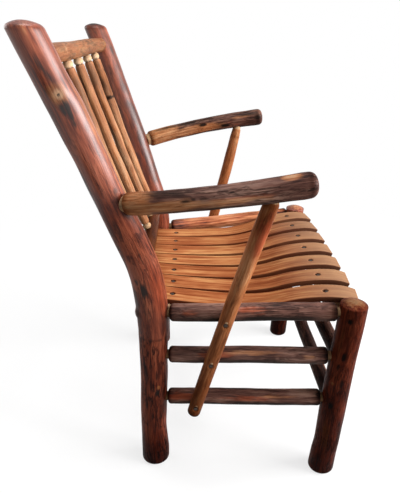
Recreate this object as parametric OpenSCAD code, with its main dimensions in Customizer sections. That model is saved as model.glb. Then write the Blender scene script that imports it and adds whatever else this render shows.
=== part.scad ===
// Hickory armchair of round poles: two bent rear posts, two short front posts, mortised rails and
// stretchers, bowed arms on raking supports, a spindle back and a dished seat of nailed slats.
// Millimetres. X runs to the sitter's left, the front of the chair faces -Y, Z is up from the floor.
// Pairs are modelled on the left side and mirrored. "Behind" and "in front" are from the seat middle.

/* [Rear posts] */
// Half the distance between the rear feet
rear_foot_half = 222; // [205:1:240]
// How far the rear feet stand behind the seat middle
rear_foot_behind = 137; // [128:1:146]
// Half the distance between the rear posts where they bend
knee_half = 217; // [205:1:235]
// How far the bends stand behind the seat middle
knee_behind = 120; // [112:1:128]
// Height of the bends
knee_height = 446; // [436:1:460]
// Half the distance between the crowns of the rear posts
rear_top_half = 277; // [250:0.5:290]
// How far the crowns of the rear posts stand behind the seat middle
rear_top_behind = 284; // [240:1:310]
// Height of the crowns of the rear posts
rear_top_height = 904; // [860:1:960]
// Radius of the steam bend, to the axis of the pole
bend_radius = 350; // [250:10:450]
// Diameter of the rear feet
rear_foot_d = 55.5; // [52:0.5:60]
// Diameter of the rear posts at the bend
knee_d = 54; // [52:0.5:58]
// Diameter of the rear posts at the top
rear_top_d = 50.5; // [46:0.5:54]
// Radius of the ball to which the rear post tops are rasped
crown_radius = 42; // [40:1:60]
// Rounding of the feet
foot_round = 7; // [2:1:10]

/* [Front posts] */
// Half the distance between the front feet
front_foot_half = 257; // [240:1:270]
// How far the front feet stand in front of the seat middle
front_foot_before = 238; // [225:1:245]
// Half the distance between the front post tops
front_top_half = 260; // [245:1:275]
// How far the front post tops stand in front of the seat middle
front_top_before = 250; // [242:1:258]
// Height of the front posts up to the rim of the dome
front_top_height = 426; // [422:1:440]
// Diameter of the front posts
front_post_d = 50; // [48:0.5:56]
// Height of the dome on the front posts
dome_height = 9; // [4:1:16]

/* [Rails and stretchers] */
// Diameter of the side seat rails
side_rail_d = 35.5; // [32:0.5:40]
// Height of the side seat rails at the rear posts
side_rail_rear_height = 386; // [384:1:392]
// Height of the side seat rails at the front posts
side_rail_front_height = 410; // [409:1:414]
// Diameter of the upper side stretchers
upper_stretcher_d = 34; // [30:0.5:38]
// Height of the upper side stretchers at the rear posts
upper_stretcher_rear_height = 286; // [270:1:300]
// Height of the upper side stretchers at the front posts
upper_stretcher_front_height = 308; // [307:1:320]
// Diameter of the lower side stretchers
lower_stretcher_d = 33.5; // [30:0.5:38]
// Height of the lower side stretchers at the rear posts
lower_stretcher_rear_height = 176.5; // [160:0.5:190]
// Height of the lower side stretchers at the front posts
lower_stretcher_front_height = 201; // [198:1:212]
// Diameter of the front and rear stretchers
cross_stretcher_d = 32; // [28:0.5:38]
// Height of the upper front stretcher
front_stretcher_high = 285; // [270:1:286]
// Height of the lower front stretcher
front_stretcher_low = 172; // [150:1:176]
// How far the front stretchers lie in front of the axes of the front posts
front_stretcher_before = 4; // [0:1:6]
// Height of the rear stretcher
rear_stretcher_height = 231; // [222:1:240]
// Diameter of the stretcher and side rail tenons
tenon_d = 19; // [16:0.5:22]
// Depth of the tenons in the posts
tenon_depth = 22; // [14:1:24]
// Bare tenon left showing between a pole's shoulder and the post
reveal = 6; // [2:1:10]
// Length over which a shoulder is chamfered
shoulder_run = 7; // [3:1:12]
// Depth of the shoulder chamfer
shoulder_drop = 4; // [1:0.5:6]

/* [Seat bearers] */
// Diameter of the flat-topped front and rear seat bearers
bearer_d = 50; // [46:1:56]
// Half the width of the flat that carries the slats
flat_half = 22; // [18:1:22]
// Diameter of the bearer tenons
bearer_tenon_d = 16; // [14:1:18]
// How far the bearer tenons lie below the middle of the bearer
bearer_tenon_drop = 10; // [8:1:12]
// How far the rear bearer's middle lies behind the seat middle
rear_bearer_behind = 107; // [104:1:110]
// How far the rear bearer's tenons lie behind its middle
rear_tenon_behind = 6; // [0:1:8]
// How far the front bearer's middle lies in front of the seat middle
front_bearer_before = 238; // [234:1:242]
// How far the front bearer's tenons lie in front of its middle
front_tenon_before = 6; // [0:1:8]

/* [Seat slats] */
// Number of slats
slat_count = 7; // [5:2:7]
// Width of a slat
slat_w = 50.5; // [40:0.5:52]
// Thickness of a slat
slat_t = 10.5; // [8:0.5:13]
// Height of the slats' top face at its rear end
slat_rear_height = 399.5; // [396:0.5:402]
// How far the rear ends of the slats lie behind the seat middle
slat_rear_behind = 143; // [138:1:146]
// Angle at which the slats fall forward from their rear ends
slat_fall = 6.1; // [5.6:0.1:6.6]
// Length of the shallow dish behind the sitter
dish_length = 180; // [170:1:190]
// Radius of the shallow dish
dish_radius = 1700; // [1500:10:1900]
// Length of the rise in front of the dish, and of the crown beyond it
rise_length = 105; // [98:1:108]
// Radius of the rise and of the crown
rise_radius = 312; // [300:1:330]
// Length of the rolled front edge
nose_length = 39; // [30:1:45]
// Radius of the rolled front edge
nose_radius = 105; // [80:1:140]
// Distance between slats along the rear row of nails
rear_pitch = 53.2; // [52.5:0.1:55]
// Distance between slats along the front row of nails
front_pitch = 68.4; // [60:0.1:69]
// How far the rear nails lie behind the seat middle
rear_nail_behind = 89; // [88:1:94]
// How far the front nails lie in front of the seat middle
front_nail_before = 222; // [220:1:240]

/* [Back] */
// Diameter of the crest rail
crest_d = 31; // [28:0.5:36]
// How far the crest rail lies below the tops of the rear posts
crest_drop = 48; // [46:1:90]
// Diameter of the lower back rail
low_rail_d = 30; // [28:0.5:34]
// Height of the lower back rail
low_rail_height = 477; // [472:1:500]
// How far the lower back rail lies behind the axes of the posts
low_rail_set_back = 9; // [0:1:10]
// Number of back spindles
spindle_count = 4; // [3:1:5]
// Diameter of the spindles
spindle_d = 18; // [14:0.5:20]
// Distance between spindles at the crest rail
spindle_top_pitch = 86.6; // [60:0.1:95]
// Distance between spindles at the lower back rail
spindle_low_pitch = 75; // [55:0.5:85]
// How far the spindles bow to the rear
spindle_bow = 6.5; // [3:0.5:12]
// Diameter of the spindle tenons
spindle_tenon_d = 13.5; // [9:0.5:13.5]
// Depth of the spindle tenons in the rails
spindle_tenon_depth = 14; // [8:1:20]
// Bare tenon left showing at each end of a spindle
spindle_reveal = 11; // [4:1:16]

/* [Arms] */
// Diameter of the arms
arm_d = 41; // [36:0.5:44]
// Height at which the arms enter the rear posts
arm_root_height = 620; // [600:1:640]
// Half the distance between the front ends of the arms
arm_end_half = 304; // [290:1:312]
// How far the arms reach in front of the seat middle
arm_end_before = 148; // [130:1:170]
// Height of the arms at their front ends
arm_end_height = 675.5; // [650:0.5:700]
// How far the arms bow outward
arm_bow = 25; // [15:1:30]
// How far the arms bow upward
arm_lift = 3; // [0:1:8]
// Rounding of the arms' front ends
arm_end_round = 14; // [6:1:19]
// Diameter of the arm tenons
arm_tenon_d = 25; // [20:1:28]
// Bare tenon left showing between the arm and the post
arm_reveal = 9; // [4:1:14]

/* [Arm supports] */
// Diameter of the arm supports
support_d = 28; // [24:0.5:31]
// Distance along the lower side stretcher, from the rear post's axis, to the crossing
support_low_at = 94; // [80:1:110]
// Distance along the side seat rail, from the rear post's axis, to the crossing
support_high_at = 142; // [130:1:155]
// Distance along the arm, from the rear post's axis, to the support's top
support_top_at = 281; // [265:1:290]
// How far the supports are let into the rails that they cross
let_in = 1; // [0.5:0.5:3]
// Length of support left below the crossing with the lower stretcher
support_tail = 20; // [16:1:60]
// Rounding of the support's lower end
support_end_round = 9; // [4:1:11]
// Length of the taper under the arm
neck_length = 28; // [10:1:40]
// Diameter of the support's tenon in the arm
support_tenon_d = 17; // [12:0.5:19]
// Depth of that tenon in the arm
support_tenon_depth = 15; // [8:1:18]

/* [Nails] */
// Diameter of the nail shanks
nail_d = 3; // [2.5:0.1:4]
// Diameter of the nail heads
nail_head_d = 8; // [6:0.5:9]
// Thickness of the nail heads
nail_head_t = 1.6; // [1:0.1:2.5]
// Diameter of the sinkings for the nail heads
sink_d = 10; // [9.5:0.5:12]
// Depth of the sinkings
sink_depth = 2.6; // [2:0.1:3.5]
// Length of the slat nails under the head
slat_nail_length = 24; // [20:1:28]
// Length of the support nails under the head
support_nail_length = 40; // [34:1:44]

/* [Fits] */
// Clearance round each tenon and nail
fit = 0.15; // [0.05:0.05:0.3]
// Room for glue at the bottom of a mortise
glue_room = 1; // [0.5:0.5:2]
// Gap between pieces that lie against each other
seat_gap = 0.2; // [0.1:0.1:0.4]

/* [Hidden] */
SLATS = [for (i = [1:slat_count]) str("seat_slat_", i)];
SPINDLES = [for (i = [1:spindle_count]) str("back_spindle_", i)];

$fn = 64;
// Facets round the whole circle of a long shallow arc, and the diameter of its section
arc_fn = 720;
// Number of flats that make up a slat's curved faces
slat_flats = 42;
// Reach of a cut that only has to pass through
clear_through = 60;
// How far an end runs into its piece's body, how much of a foot's end is cut off level, and how
// much less than the body's an end's radius is
lead_in = 3;
level_cut = 1.2;
end_step = 0.25;
up = [0, 0, 1];

post_red = "#7a3324";
bark_brown = "#5a3a2e";
peeled_tan = "#b5793f";
slat_orange = "#c08048";
nail_grey = "#3a3430";

// Vectors and points
function unit(v) = v / norm(v);
function mix(a, b, t) = a + t * (b - a);
function mirrored(p) = [-p.x, p.y, p.z];
function square_to(v, n) = v - (v * n) * n;
function across(n) = unit(square_to(abs(n.z) < 0.7 ? up : [1, 0, 0], n));

// An arc is [start, start heading, direction of its centre, radius, angle]
function arc_of(a, b, bulge) =
    let (chord = norm(b - a), u = unit(b - a), side = square_to(bulge, u), rise = norm(side),
         n = side / rise, r = chord * chord / (8 * rise) + rise / 2, half = asin(chord / 2 / r))
    [a, cos(half) * u + sin(half) * n, sin(half) * u - cos(half) * n, r, 2 * half];
function arc_through(p, q, s) =
    let (a = q - p, b = s - p, w = cross(a, b),
         to_centre = ((b * b) * cross(w, a) + (a * a) * cross(b, w)) / (2 * (w * w)),
         r = norm(to_centre))
    [p, cross(to_centre, w) / (r * norm(w)), to_centre / r, r, 2 * asin(norm(b) / 2 / r)];
function arc_turn(arc, along) = along / arc[3] * 180 / PI;
function arc_length(arc) = arc[3] * arc[4] * PI / 180;
function arc_at(arc, along) = let (t = arc_turn(arc, along))
    arc[0] + arc[3] * (sin(t) * arc[1] + (1 - cos(t)) * arc[2]);
function arc_heading(arc, along) = let (t = arc_turn(arc, along)) cos(t) * arc[1] + sin(t) * arc[2];
function arc_inward(arc, along) = let (t = arc_turn(arc, along)) cos(t) * arc[2] - sin(t) * arc[1];

// Axes of the left rear post: a straight leg, a bend and a straight raked back
rear_foot = [rear_foot_half, rear_foot_behind, 0];
knee = [knee_half, knee_behind, knee_height];
rear_top = [rear_top_half, rear_top_behind, rear_top_height];
leg_heading = unit(knee - rear_foot);
back_heading = unit(rear_top - knee);
// Drop of a crown's ball from its highest point to the rear rim of the post
rim_drop = crown_radius - sqrt(pow(crown_radius, 2) - pow(rear_top_d / 2, 2));
// Share of the ball's radius that reaches below the crown before the ball is wider than the post
crown_share = 0.6;
bend_angle = acos(leg_heading * back_heading);
bend_d = knee_d + 2 * end_step;
bend_run = bend_radius * tan(bend_angle / 2);
bend_arc = [knee - bend_run * leg_heading, leg_heading, unit(square_to(back_heading, leg_heading)),
            bend_radius, bend_angle];
function rear_axis(z) = z < knee_height
    ? mix(rear_foot, knee, z / knee_height)
    : mix(knee, rear_top, (z - knee_height) / (rear_top_height - knee_height));
rear_post_r = knee_d / 2;
crest_height = rear_top_height - crest_drop;

// Axis of the left front post
front_foot = [front_foot_half, -front_foot_before, 0];
front_top = [front_top_half, -front_top_before, front_top_height];
front_heading = unit(front_top - front_foot);
function front_axis(z) = mix(front_foot, front_top, z / front_top_height);
front_post_r = front_post_d / 2;

// Poles that run from post to post, as pairs of points on the post axes
side_rail = [rear_axis(side_rail_rear_height), front_axis(side_rail_front_height)];
upper_stretcher = [rear_axis(upper_stretcher_rear_height), front_axis(upper_stretcher_front_height)];
lower_stretcher = [rear_axis(lower_stretcher_rear_height), front_axis(lower_stretcher_front_height)];
function crossing(p) = [mirrored(p), p];
front_high = crossing(front_axis(front_stretcher_high) - [0, front_stretcher_before, 0]);
front_low = crossing(front_axis(front_stretcher_low) - [0, front_stretcher_before, 0]);
rear_cross = crossing(rear_axis(rear_stretcher_height));
crest = crossing(rear_axis(crest_height));
low_rail = crossing(rear_axis(low_rail_height) + [0, low_rail_set_back, 0]);

// The slats' top face seen from the side, as [forward, up, heading] after each length of curve
bends = [[dish_length, dish_radius], [rise_length, rise_radius],
         [rise_length, -rise_radius], [nose_length, -nose_radius]];
slat_length = dish_length + 2 * rise_length + nose_length;
function along_bend(s, r, l) = let (t = s[2] + l / r * 180 / PI)
    [s[0] + r * (sin(t) - sin(s[2])), s[1] + r * (cos(s[2]) - cos(t)), t];
function slat_curve(l, i = 0, s = [0, slat_rear_height, -slat_fall]) =
    i == len(bends) - 1 || l <= bends[i][0]
    ? along_bend(s, bends[i][1], l)
    : slat_curve(l - bends[i][0], i + 1, along_bend(s, bends[i][1], bends[i][0]));
// Point below the top face by a depth, and the upward normal there
function slat_normal(l) = let (s = slat_curve(l)) [-sin(s[2]), cos(s[2])];
function slat_point(l, depth) = let (s = slat_curve(l)) [s[0], s[1]] - depth * slat_normal(l);

// Bearers: a flat under the slats, the pole's middle below it and its tenons lower still
flat_rise = sqrt(pow(bearer_d / 2, 2) - pow(flat_half, 2));
// How much further along the outer slats lie over a bearer than the middle one does
fan_allowance = 4;
function bearer_drop(l) = min([for (e = [-1, 0, 1])
    (slat_point(l + e * (flat_half + fan_allowance), slat_t) - slat_point(l, slat_t)) * slat_normal(l)]);
function bearer_middle(l) =
    slat_point(l, slat_t) + (bearer_drop(l) - seat_gap - flat_rise) * slat_normal(l);
function bearer_tilt(l) = slat_curve(l)[2];
rear_bearer_at = slat_rear_behind - rear_bearer_behind;
front_bearer_at = slat_rear_behind + front_bearer_before;
rear_bearer_z = bearer_middle(rear_bearer_at)[1];
front_bearer_z = bearer_middle(front_bearer_at)[1];
function bearer_tenons(half, y, z) = crossing([half, y, z - bearer_tenon_drop]);
rear_bearer = bearer_tenons(rear_axis(rear_bearer_z - bearer_tenon_drop).x,
                            rear_bearer_behind + rear_tenon_behind, rear_bearer_z);
front_bearer = bearer_tenons(front_axis(front_bearer_z - bearer_tenon_drop).x,
                             -front_bearer_before - front_tenon_before, front_bearer_z);

// Each slat points from its rear nail to its front nail, numbered from the sitter's right
function slat_place(i) = i - (slat_count + 1) / 2;
function rear_nail(i) = [slat_place(i) * rear_pitch, rear_nail_behind, 0];
function front_nail(i) = [slat_place(i) * front_pitch, -front_nail_before, 0];
function slat_heading(i) = unit(front_nail(i) - rear_nail(i));
slat_nail_in = slat_rear_behind - rear_nail_behind;
function slat_start(i) = rear_nail(i) - slat_nail_in * slat_heading(i);
function slat_nails_at(i) = [slat_nail_in, slat_nail_in + norm(front_nail(i) - rear_nail(i))];

// Arms, arm supports and spindles are arcs
arm_arc = arc_of(rear_axis(arm_root_height), [arm_end_half, -arm_end_before, arm_end_height],
                 [arm_bow, 0, arm_lift]);
arm_shoulder = rear_post_r + arm_reveal;
arm_body_end = arc_length(arm_arc) - arm_end_round;

function outward(pole) = unit(cross(up, unit(pole[1] - pole[0])));
function on_pole(pole, along) = pole[0] + along * unit(pole[1] - pole[0]);
function beside(pole, along, d) = on_pole(pole, along)
    + (d / 2 + support_d / 2 - let_in) * outward(pole);
support_arc = arc_through(beside(lower_stretcher, support_low_at, lower_stretcher_d),
                          beside(side_rail, support_high_at, side_rail_d),
                          arc_at(arm_arc, support_top_at));
support_length = arc_length(support_arc);
// The support meets the arm at a slant, so its tenon enters the arm some way below the arm's axis
support_slant =
    acos(abs(arc_heading(support_arc, support_length) * arc_heading(arm_arc, support_top_at)));
support_entry = arm_d / 2 / sin(support_slant) + support_tenon_d / 2 / tan(support_slant);
support_tenon_end = support_length - arm_d / 2 + support_tenon_depth;
support_neck_end = support_length - support_entry - seat_gap;
support_neck_start = support_neck_end - neck_length;

// Share of the way from the low to the high crossing at which the support passes the upper stretcher
support_run = [arc_at(support_arc, 0), beside(side_rail, support_high_at, side_rail_d)];
function nearest_along(pole, other) =
    let (u = unit(pole[1] - pole[0]), v = unit(other[1] - other[0]), w = pole[0] - other[0],
         b = u * v) (b * (v * w) - u * w) / (1 - b * b);
mid_share = nearest_along(support_run, upper_stretcher) / norm(support_run[1] - support_run[0]);
mid_along = mid_share * 2 * asin(norm(support_run[1] - support_run[0]) / 2 / support_arc[3])
    * support_arc[3] * PI / 180;
mid_on_stretcher = nearest_along(upper_stretcher, support_run);
// Support nails: a point on the rail's axis, the direction out of it, and the support's surface
function support_nail(pole, along, support_point) =
    let (p = on_pole(pole, along), n = outward(pole)) [p, n, (support_point - p) * n + support_d / 2];
support_nail_list = [
    support_nail(lower_stretcher, support_low_at, arc_at(support_arc, 0)),
    support_nail(upper_stretcher, mid_on_stretcher, arc_at(support_arc, mid_along)),
    support_nail(side_rail, support_high_at, support_run[1])];

function spindle_place(i) = i - (spindle_count + 1) / 2;
function spindle_arc(i) =
    arc_of([spindle_place(i) * spindle_low_pitch, low_rail[1].y, low_rail_height],
           [spindle_place(i) * spindle_top_pitch, crest[1].y, crest_height], [0, spindle_bow, 0]);
low_shoulder = low_rail_d / 2 + spindle_reveal;
high_shoulder = crest_d / 2 + spindle_reveal;

// The chair is set on the floor with the middle of its length and width at the origin
function slat_reach(i) = let (h = slat_heading(i))
    slat_w / 2 * abs(h.x) - slat_curve(slat_length)[0] * h.y - slat_start(i).y;
front_reach = max([for (i = [1:slat_count]) slat_reach(i)]);
// Half the length, front to rear, of a level cut through a rear post's top
rim_half = rear_top_d / 2 * sqrt(1 - pow(back_heading.x, 2)) / back_heading.z;
rim_rear = rear_axis(rear_top_height - rim_drop);
rear_reach = rim_rear.y + rim_half;
middle = (rear_reach - front_reach) / 2;

// Placing
module pose(p, z, x) {
    y = cross(z, x);
    multmatrix([[x.x, y.x, z.x, p.x], [x.y, y.y, z.y, p.y], [x.z, y.z, z.z, p.z], [0, 0, 0, 1]])
        children();
}
module facing(p, heading) { pose(p, heading, across(heading)) children(); }
module in_chair() { translate([0, -middle, 0]) children(); }
module right_side() { mirror([1, 0, 0]) children(); }

// Poles
module stick(a, b, d1, d2) {
    facing(a, unit(b - a)) cylinder(h = norm(b - a), d1 = d1, d2 = d2);
}
module bent(arc, from, to, d) {
    pose(arc_at(arc, from), arc_heading(arc, from), arc_inward(arc, from))
        translate([arc[3], 0, 0])
        rotate([90, 0, 180])
        rotate_extrude(angle = arc_turn(arc, to - from), $fn = arc_fn)
        translate([arc[3], 0])
        circle(d = d, $fn = 64);
}
// A rounded end of a body with diameter d, running a little way into that body
module round_end(d, e) {
    r = d / 2 - end_step;
    rotate_extrude() {
        translate([0, -lead_in]) square([r, lead_in]);
        intersection() {
            union() {
                square([r - e, e]);
                translate([r - e, 0]) circle(r = e);
            }
            square([r, e]);
        }
    }
}
module dome(d, h) {
    r = d / 2 - end_step;
    ball = (r * r + h * h) / (2 * h);
    rotate_extrude() {
        translate([0, -lead_in]) square([r, lead_in]);
        intersection() {
            translate([0, h - ball]) circle(r = ball, $fn = 256);
            square([r, h]);
        }
    }
}
// A tenon that starts inside its piece's body
module tenon(length, d) { translate([0, 0, -lead_in]) cylinder(h = length + lead_in, d = d); }
// A pole between two posts, with chamfered shoulders and a tenon at each end
module tenoned_pole(pole, d, post_r) {
    length = norm(pole[1] - pole[0]);
    tips = [for (r = post_r) r - tenon_depth];
    shoulders = [for (r = post_r) r + reveal];
    facing(pole[0], unit(pole[1] - pole[0]))
        rotate_extrude()
        polygon([[0, tips[0]], [tenon_d / 2, tips[0]], [tenon_d / 2, shoulders[0]],
                 [d / 2 - shoulder_drop, shoulders[0]], [d / 2, shoulders[0] + shoulder_run],
                 [d / 2, length - shoulders[1] - shoulder_run],
                 [d / 2 - shoulder_drop, length - shoulders[1]], [tenon_d / 2, length - shoulders[1]],
                 [tenon_d / 2, length - tips[1]], [0, length - tips[1]]]);
}
module mortise(pole, post_r, d) {
    facing(pole[0], unit(pole[1] - pole[0]))
        translate([0, 0, post_r - tenon_depth - glue_room])
        cylinder(h = clear_through, d = d + 2 * fit);
}
function reversed(pole) = [pole[1], pole[0]];
// A nail hole along z with its sinking, from the face at z = 0 downward
module nail_hole(length) {
    translate([0, 0, -sink_depth - length])
        cylinder(h = length + sink_depth + clear_through, d = nail_d + 2 * fit);
    translate([0, 0, -sink_depth]) cylinder(h = clear_through, d = sink_d);
}
module nail(length) {
    translate([0, 0, -sink_depth]) cylinder(h = nail_head_t, d = nail_head_d);
    translate([0, 0, -sink_depth - length]) cylinder(h = length, d = nail_d);
}

// The foot runs a little below the floor, so that its level cut leaves no gap on the high side
module rounded_foot(p, heading, d) {
    facing(p + (foot_round - level_cut) * heading, -heading) round_end(d, foot_round);
}
module floor_cut(p, d) {
    translate([p.x, p.y, -clear_through]) cylinder(h = clear_through, d = 2 * d);
}
module crown_cut() {
    difference() {
        translate(rear_top - [0, 0, crown_share * crown_radius])
            cylinder(h = clear_through, d = 4 * rear_top_d);
        translate(rear_top - [0, 0, crown_radius]) sphere(r = crown_radius, $fn = 128);
    }
}

module rear_post() {
    bend_end = arc_length(bend_arc);
    color(post_red) in_chair()
        difference() {
            union() {
                stick(rear_foot + foot_round * leg_heading, bend_arc[0] + lead_in * leg_heading,
                      rear_foot_d, knee_d);
                bent(bend_arc, 0, bend_end, bend_d);
                stick(arc_at(bend_arc, bend_end) - lead_in * back_heading,
                      rear_top + rim_drop * back_heading, knee_d, rear_top_d);
                rounded_foot(rear_foot, leg_heading, rear_foot_d);
            }
            floor_cut(rear_foot, rear_foot_d);
            crown_cut();
            mortise(side_rail, rear_post_r, tenon_d);
            mortise(upper_stretcher, rear_post_r, tenon_d);
            mortise(lower_stretcher, rear_post_r, tenon_d);
            mortise(reversed(rear_cross), rear_post_r, tenon_d);
            mortise(reversed(rear_bearer), rear_post_r, bearer_tenon_d);
            mortise(reversed(crest), rear_post_r, tenon_d);
            mortise(reversed(low_rail), rear_post_r, tenon_d);
            facing(arc_at(arm_arc, arm_shoulder), -arc_heading(arm_arc, arm_shoulder))
                translate([0, 0, -clear_through / 2])
                cylinder(h = clear_through / 2 + arm_reveal + tenon_depth + glue_room,
                         d = arm_tenon_d + 2 * fit);
        }
}

module front_post() {
    color(post_red) in_chair()
        difference() {
            union() {
                stick(front_foot + foot_round * front_heading, front_top, front_post_d, front_post_d);
                rounded_foot(front_foot, front_heading, front_post_d);
                facing(front_top, front_heading) dome(front_post_d, dome_height);
            }
            floor_cut(front_foot, front_post_d);
            mortise(reversed(side_rail), front_post_r, tenon_d);
            mortise(reversed(upper_stretcher), front_post_r, tenon_d);
            mortise(reversed(lower_stretcher), front_post_r, tenon_d);
            mortise(reversed(front_high), front_post_r, tenon_d);
            mortise(reversed(front_low), front_post_r, tenon_d);
            mortise(reversed(front_bearer), front_post_r, bearer_tenon_d);
        }
}

module arm() {
    color(bark_brown) in_chair()
        difference() {
            union() {
                bent(arm_arc, arm_shoulder, arm_body_end, arm_d);
                facing(arc_at(arm_arc, arm_body_end), arc_heading(arm_arc, arm_body_end))
                    round_end(arm_d, arm_end_round);
                facing(arc_at(arm_arc, arm_shoulder), -arc_heading(arm_arc, arm_shoulder))
                    tenon(arm_reveal + tenon_depth, arm_tenon_d);
            }
            facing(arc_at(support_arc, support_tenon_end + glue_room),
                   -arc_heading(support_arc, support_length))
                cylinder(h = clear_through, d = support_tenon_d + 2 * fit);
        }
}

module arm_support() {
    color(peeled_tan) in_chair()
        difference() {
            union() {
                facing(arc_at(support_arc, -support_tail), -arc_heading(support_arc, -support_tail))
                    round_end(support_d, support_end_round);
                bent(support_arc, -support_tail, support_neck_start, support_d);
                stick(arc_at(support_arc, support_neck_start - lead_in),
                      arc_at(support_arc, support_neck_end),
                      support_d - 2 * end_step, support_tenon_d + 2 * end_step);
                stick(arc_at(support_arc, support_neck_end - lead_in),
                      arc_at(support_arc, support_tenon_end), support_tenon_d, support_tenon_d);
            }
            for (cross_over = [[side_rail, side_rail_d], [upper_stretcher, upper_stretcher_d],
                               [lower_stretcher, lower_stretcher_d]])
                stick(cross_over[0][0], cross_over[0][1],
                      cross_over[1] + 2 * seat_gap, cross_over[1] + 2 * seat_gap);
            support_nail_holes();
        }
}
module support_nail_holes() {
    for (n = support_nail_list)
        facing(n[0] + n[2] * n[1], n[1]) nail_hole(support_nail_length);
}

module side_pole(pole, d) {
    color(bark_brown) in_chair()
        difference() {
            tenoned_pole(pole, d, [rear_post_r, front_post_r]);
            support_nail_holes();
        }
}
module side_seat_rail() { side_pole(side_rail, side_rail_d); }
module upper_side_stretcher() { side_pole(upper_stretcher, upper_stretcher_d); }
module lower_side_stretcher() { side_pole(lower_stretcher, lower_stretcher_d); }

module cross_pole(pole, d, post_r) {
    color(bark_brown) in_chair() tenoned_pole(pole, d, [post_r, post_r]);
}
module upper_front_stretcher() { cross_pole(front_high, cross_stretcher_d, front_post_r); }
module lower_front_stretcher() { cross_pole(front_low, cross_stretcher_d, front_post_r); }
module rear_stretcher() { cross_pole(rear_cross, cross_stretcher_d, rear_post_r); }

// A pole planed flat on top, with tenons whittled from its lower half
module bearer(tenons, post_r, at, y, z) {
    half = tenons[1].x - post_r - reveal;
    reach = tenons[1].x - post_r + tenon_depth;
    color(bark_brown) in_chair()
        difference() {
            union() {
                difference() {
                    translate([-half, y, z]) rotate([0, 90, 0]) cylinder(h = 2 * half, d = bearer_d);
                    translate([0, y, z]) rotate([-bearer_tilt(at), 0, 0])
                        translate([-half - lead_in, -bearer_d, flat_rise])
                        cube([2 * (half + lead_in), 2 * bearer_d, bearer_d]);
                }
                translate([-reach, tenons[1].y, tenons[1].z]) rotate([0, 90, 0])
                    cylinder(h = 2 * reach, d = bearer_tenon_d);
            }
            slat_nail_holes();
        }
}
module rear_seat_bearer() {
    bearer(rear_bearer, rear_post_r, rear_bearer_at, rear_bearer_behind, rear_bearer_z);
}
module front_seat_bearer() {
    bearer(front_bearer, front_post_r, front_bearer_at, -front_bearer_before, front_bearer_z);
}

// Children are set with x along the slat, y up and z across it, from the rear end of slat i
module on_slat(i) { pose(slat_start(i), cross(slat_heading(i), up), slat_heading(i)) children(); }
// Children are set with z out of the slat's top face at each of its nails
module at_slat_nails(i) {
    for (l = slat_nails_at(i)) {
        s = slat_curve(l);
        on_slat(i) translate([s[0], s[1], 0]) rotate([-90, 0, 0]) rotate([0, -s[2], 0]) children();
    }
}
module slat_nail_holes() {
    for (i = [1:slat_count]) at_slat_nails(i) nail_hole(slat_nail_length);
}
module seat_slat(i) {
    stations = [for (k = [0:slat_flats]) k * slat_length / slat_flats];
    color(slat_orange) in_chair()
        difference() {
            on_slat(i)
                linear_extrude(height = slat_w, center = true)
                polygon(concat([for (l = stations) slat_point(l, 0)],
                               [for (l = stations) slat_point(slat_length - l, slat_t)]));
            at_slat_nails(i) nail_hole(slat_nail_length);
        }
}
module slat_nails() {
    color(nail_grey) in_chair()
        for (i = [1:slat_count]) at_slat_nails(i) nail(slat_nail_length);
}
module support_nails_left() {
    color(nail_grey) in_chair()
        for (n = support_nail_list) facing(n[0] + n[2] * n[1], n[1]) nail(support_nail_length);
}
module support_nails() {
    support_nails_left();
    right_side() support_nails_left();
}

// Children are set with z along the spindle's tenon, from its shoulder outward, at both ends
module spindle_ends(i) {
    arc = spindle_arc(i);
    facing(arc_at(arc, low_shoulder), -arc_heading(arc, low_shoulder)) children();
    high = arc_length(arc) - high_shoulder;
    facing(arc_at(arc, high), arc_heading(arc, high)) children();
}
module back_spindle(i) {
    arc = spindle_arc(i);
    color(peeled_tan) in_chair() {
        bent(arc, low_shoulder, arc_length(arc) - high_shoulder, spindle_d);
        spindle_ends(i) tenon(spindle_reveal + spindle_tenon_depth, spindle_tenon_d);
    }
}
module back_rail(pole, d) {
    color(peeled_tan) in_chair()
        difference() {
            tenoned_pole(pole, d, [rear_post_r, rear_post_r]);
            for (i = [1:spindle_count])
                spindle_ends(i)
                    cylinder(h = spindle_reveal + spindle_tenon_depth + glue_room,
                             d = spindle_tenon_d + 2 * fit);
        }
}
module crest_rail() { back_rail(crest, crest_d); }
module lower_back_rail() { back_rail(low_rail, low_rail_d); }

right_side() rear_post();  // rear_post_right
rear_post();  // rear_post_left
right_side() front_post();  // front_post_right
front_post();  // front_post_left
right_side() arm();  // arm_right
arm();  // arm_left
right_side() arm_support();  // arm_support_right
arm_support();  // arm_support_left
right_side() side_seat_rail();  // side_seat_rail_right
side_seat_rail();  // side_seat_rail_left
right_side() upper_side_stretcher();  // upper_side_stretcher_right
upper_side_stretcher();  // upper_side_stretcher_left
right_side() lower_side_stretcher();  // lower_side_stretcher_right
lower_side_stretcher();  // lower_side_stretcher_left
front_seat_bearer();
rear_seat_bearer();
upper_front_stretcher();
lower_front_stretcher();
rear_stretcher();
crest_rail();
lower_back_rail();
for (i = [1:spindle_count]) back_spindle(i);
for (i = [1:slat_count]) seat_slat(i);
slat_nails();
support_nails();
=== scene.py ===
"""Hickory armchair: natural poles, nailed slats and a plain studio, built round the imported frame.

Lengths in the shape functions are millimetres in the chair's own frame and are turned to metres
when a mesh is made. "Right" and "left" are the sitter's, and the near side of the picture is right.
"""
import math
from types import SimpleNamespace

import bpy
import numpy as np
from mathutils import Matrix, Vector


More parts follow.
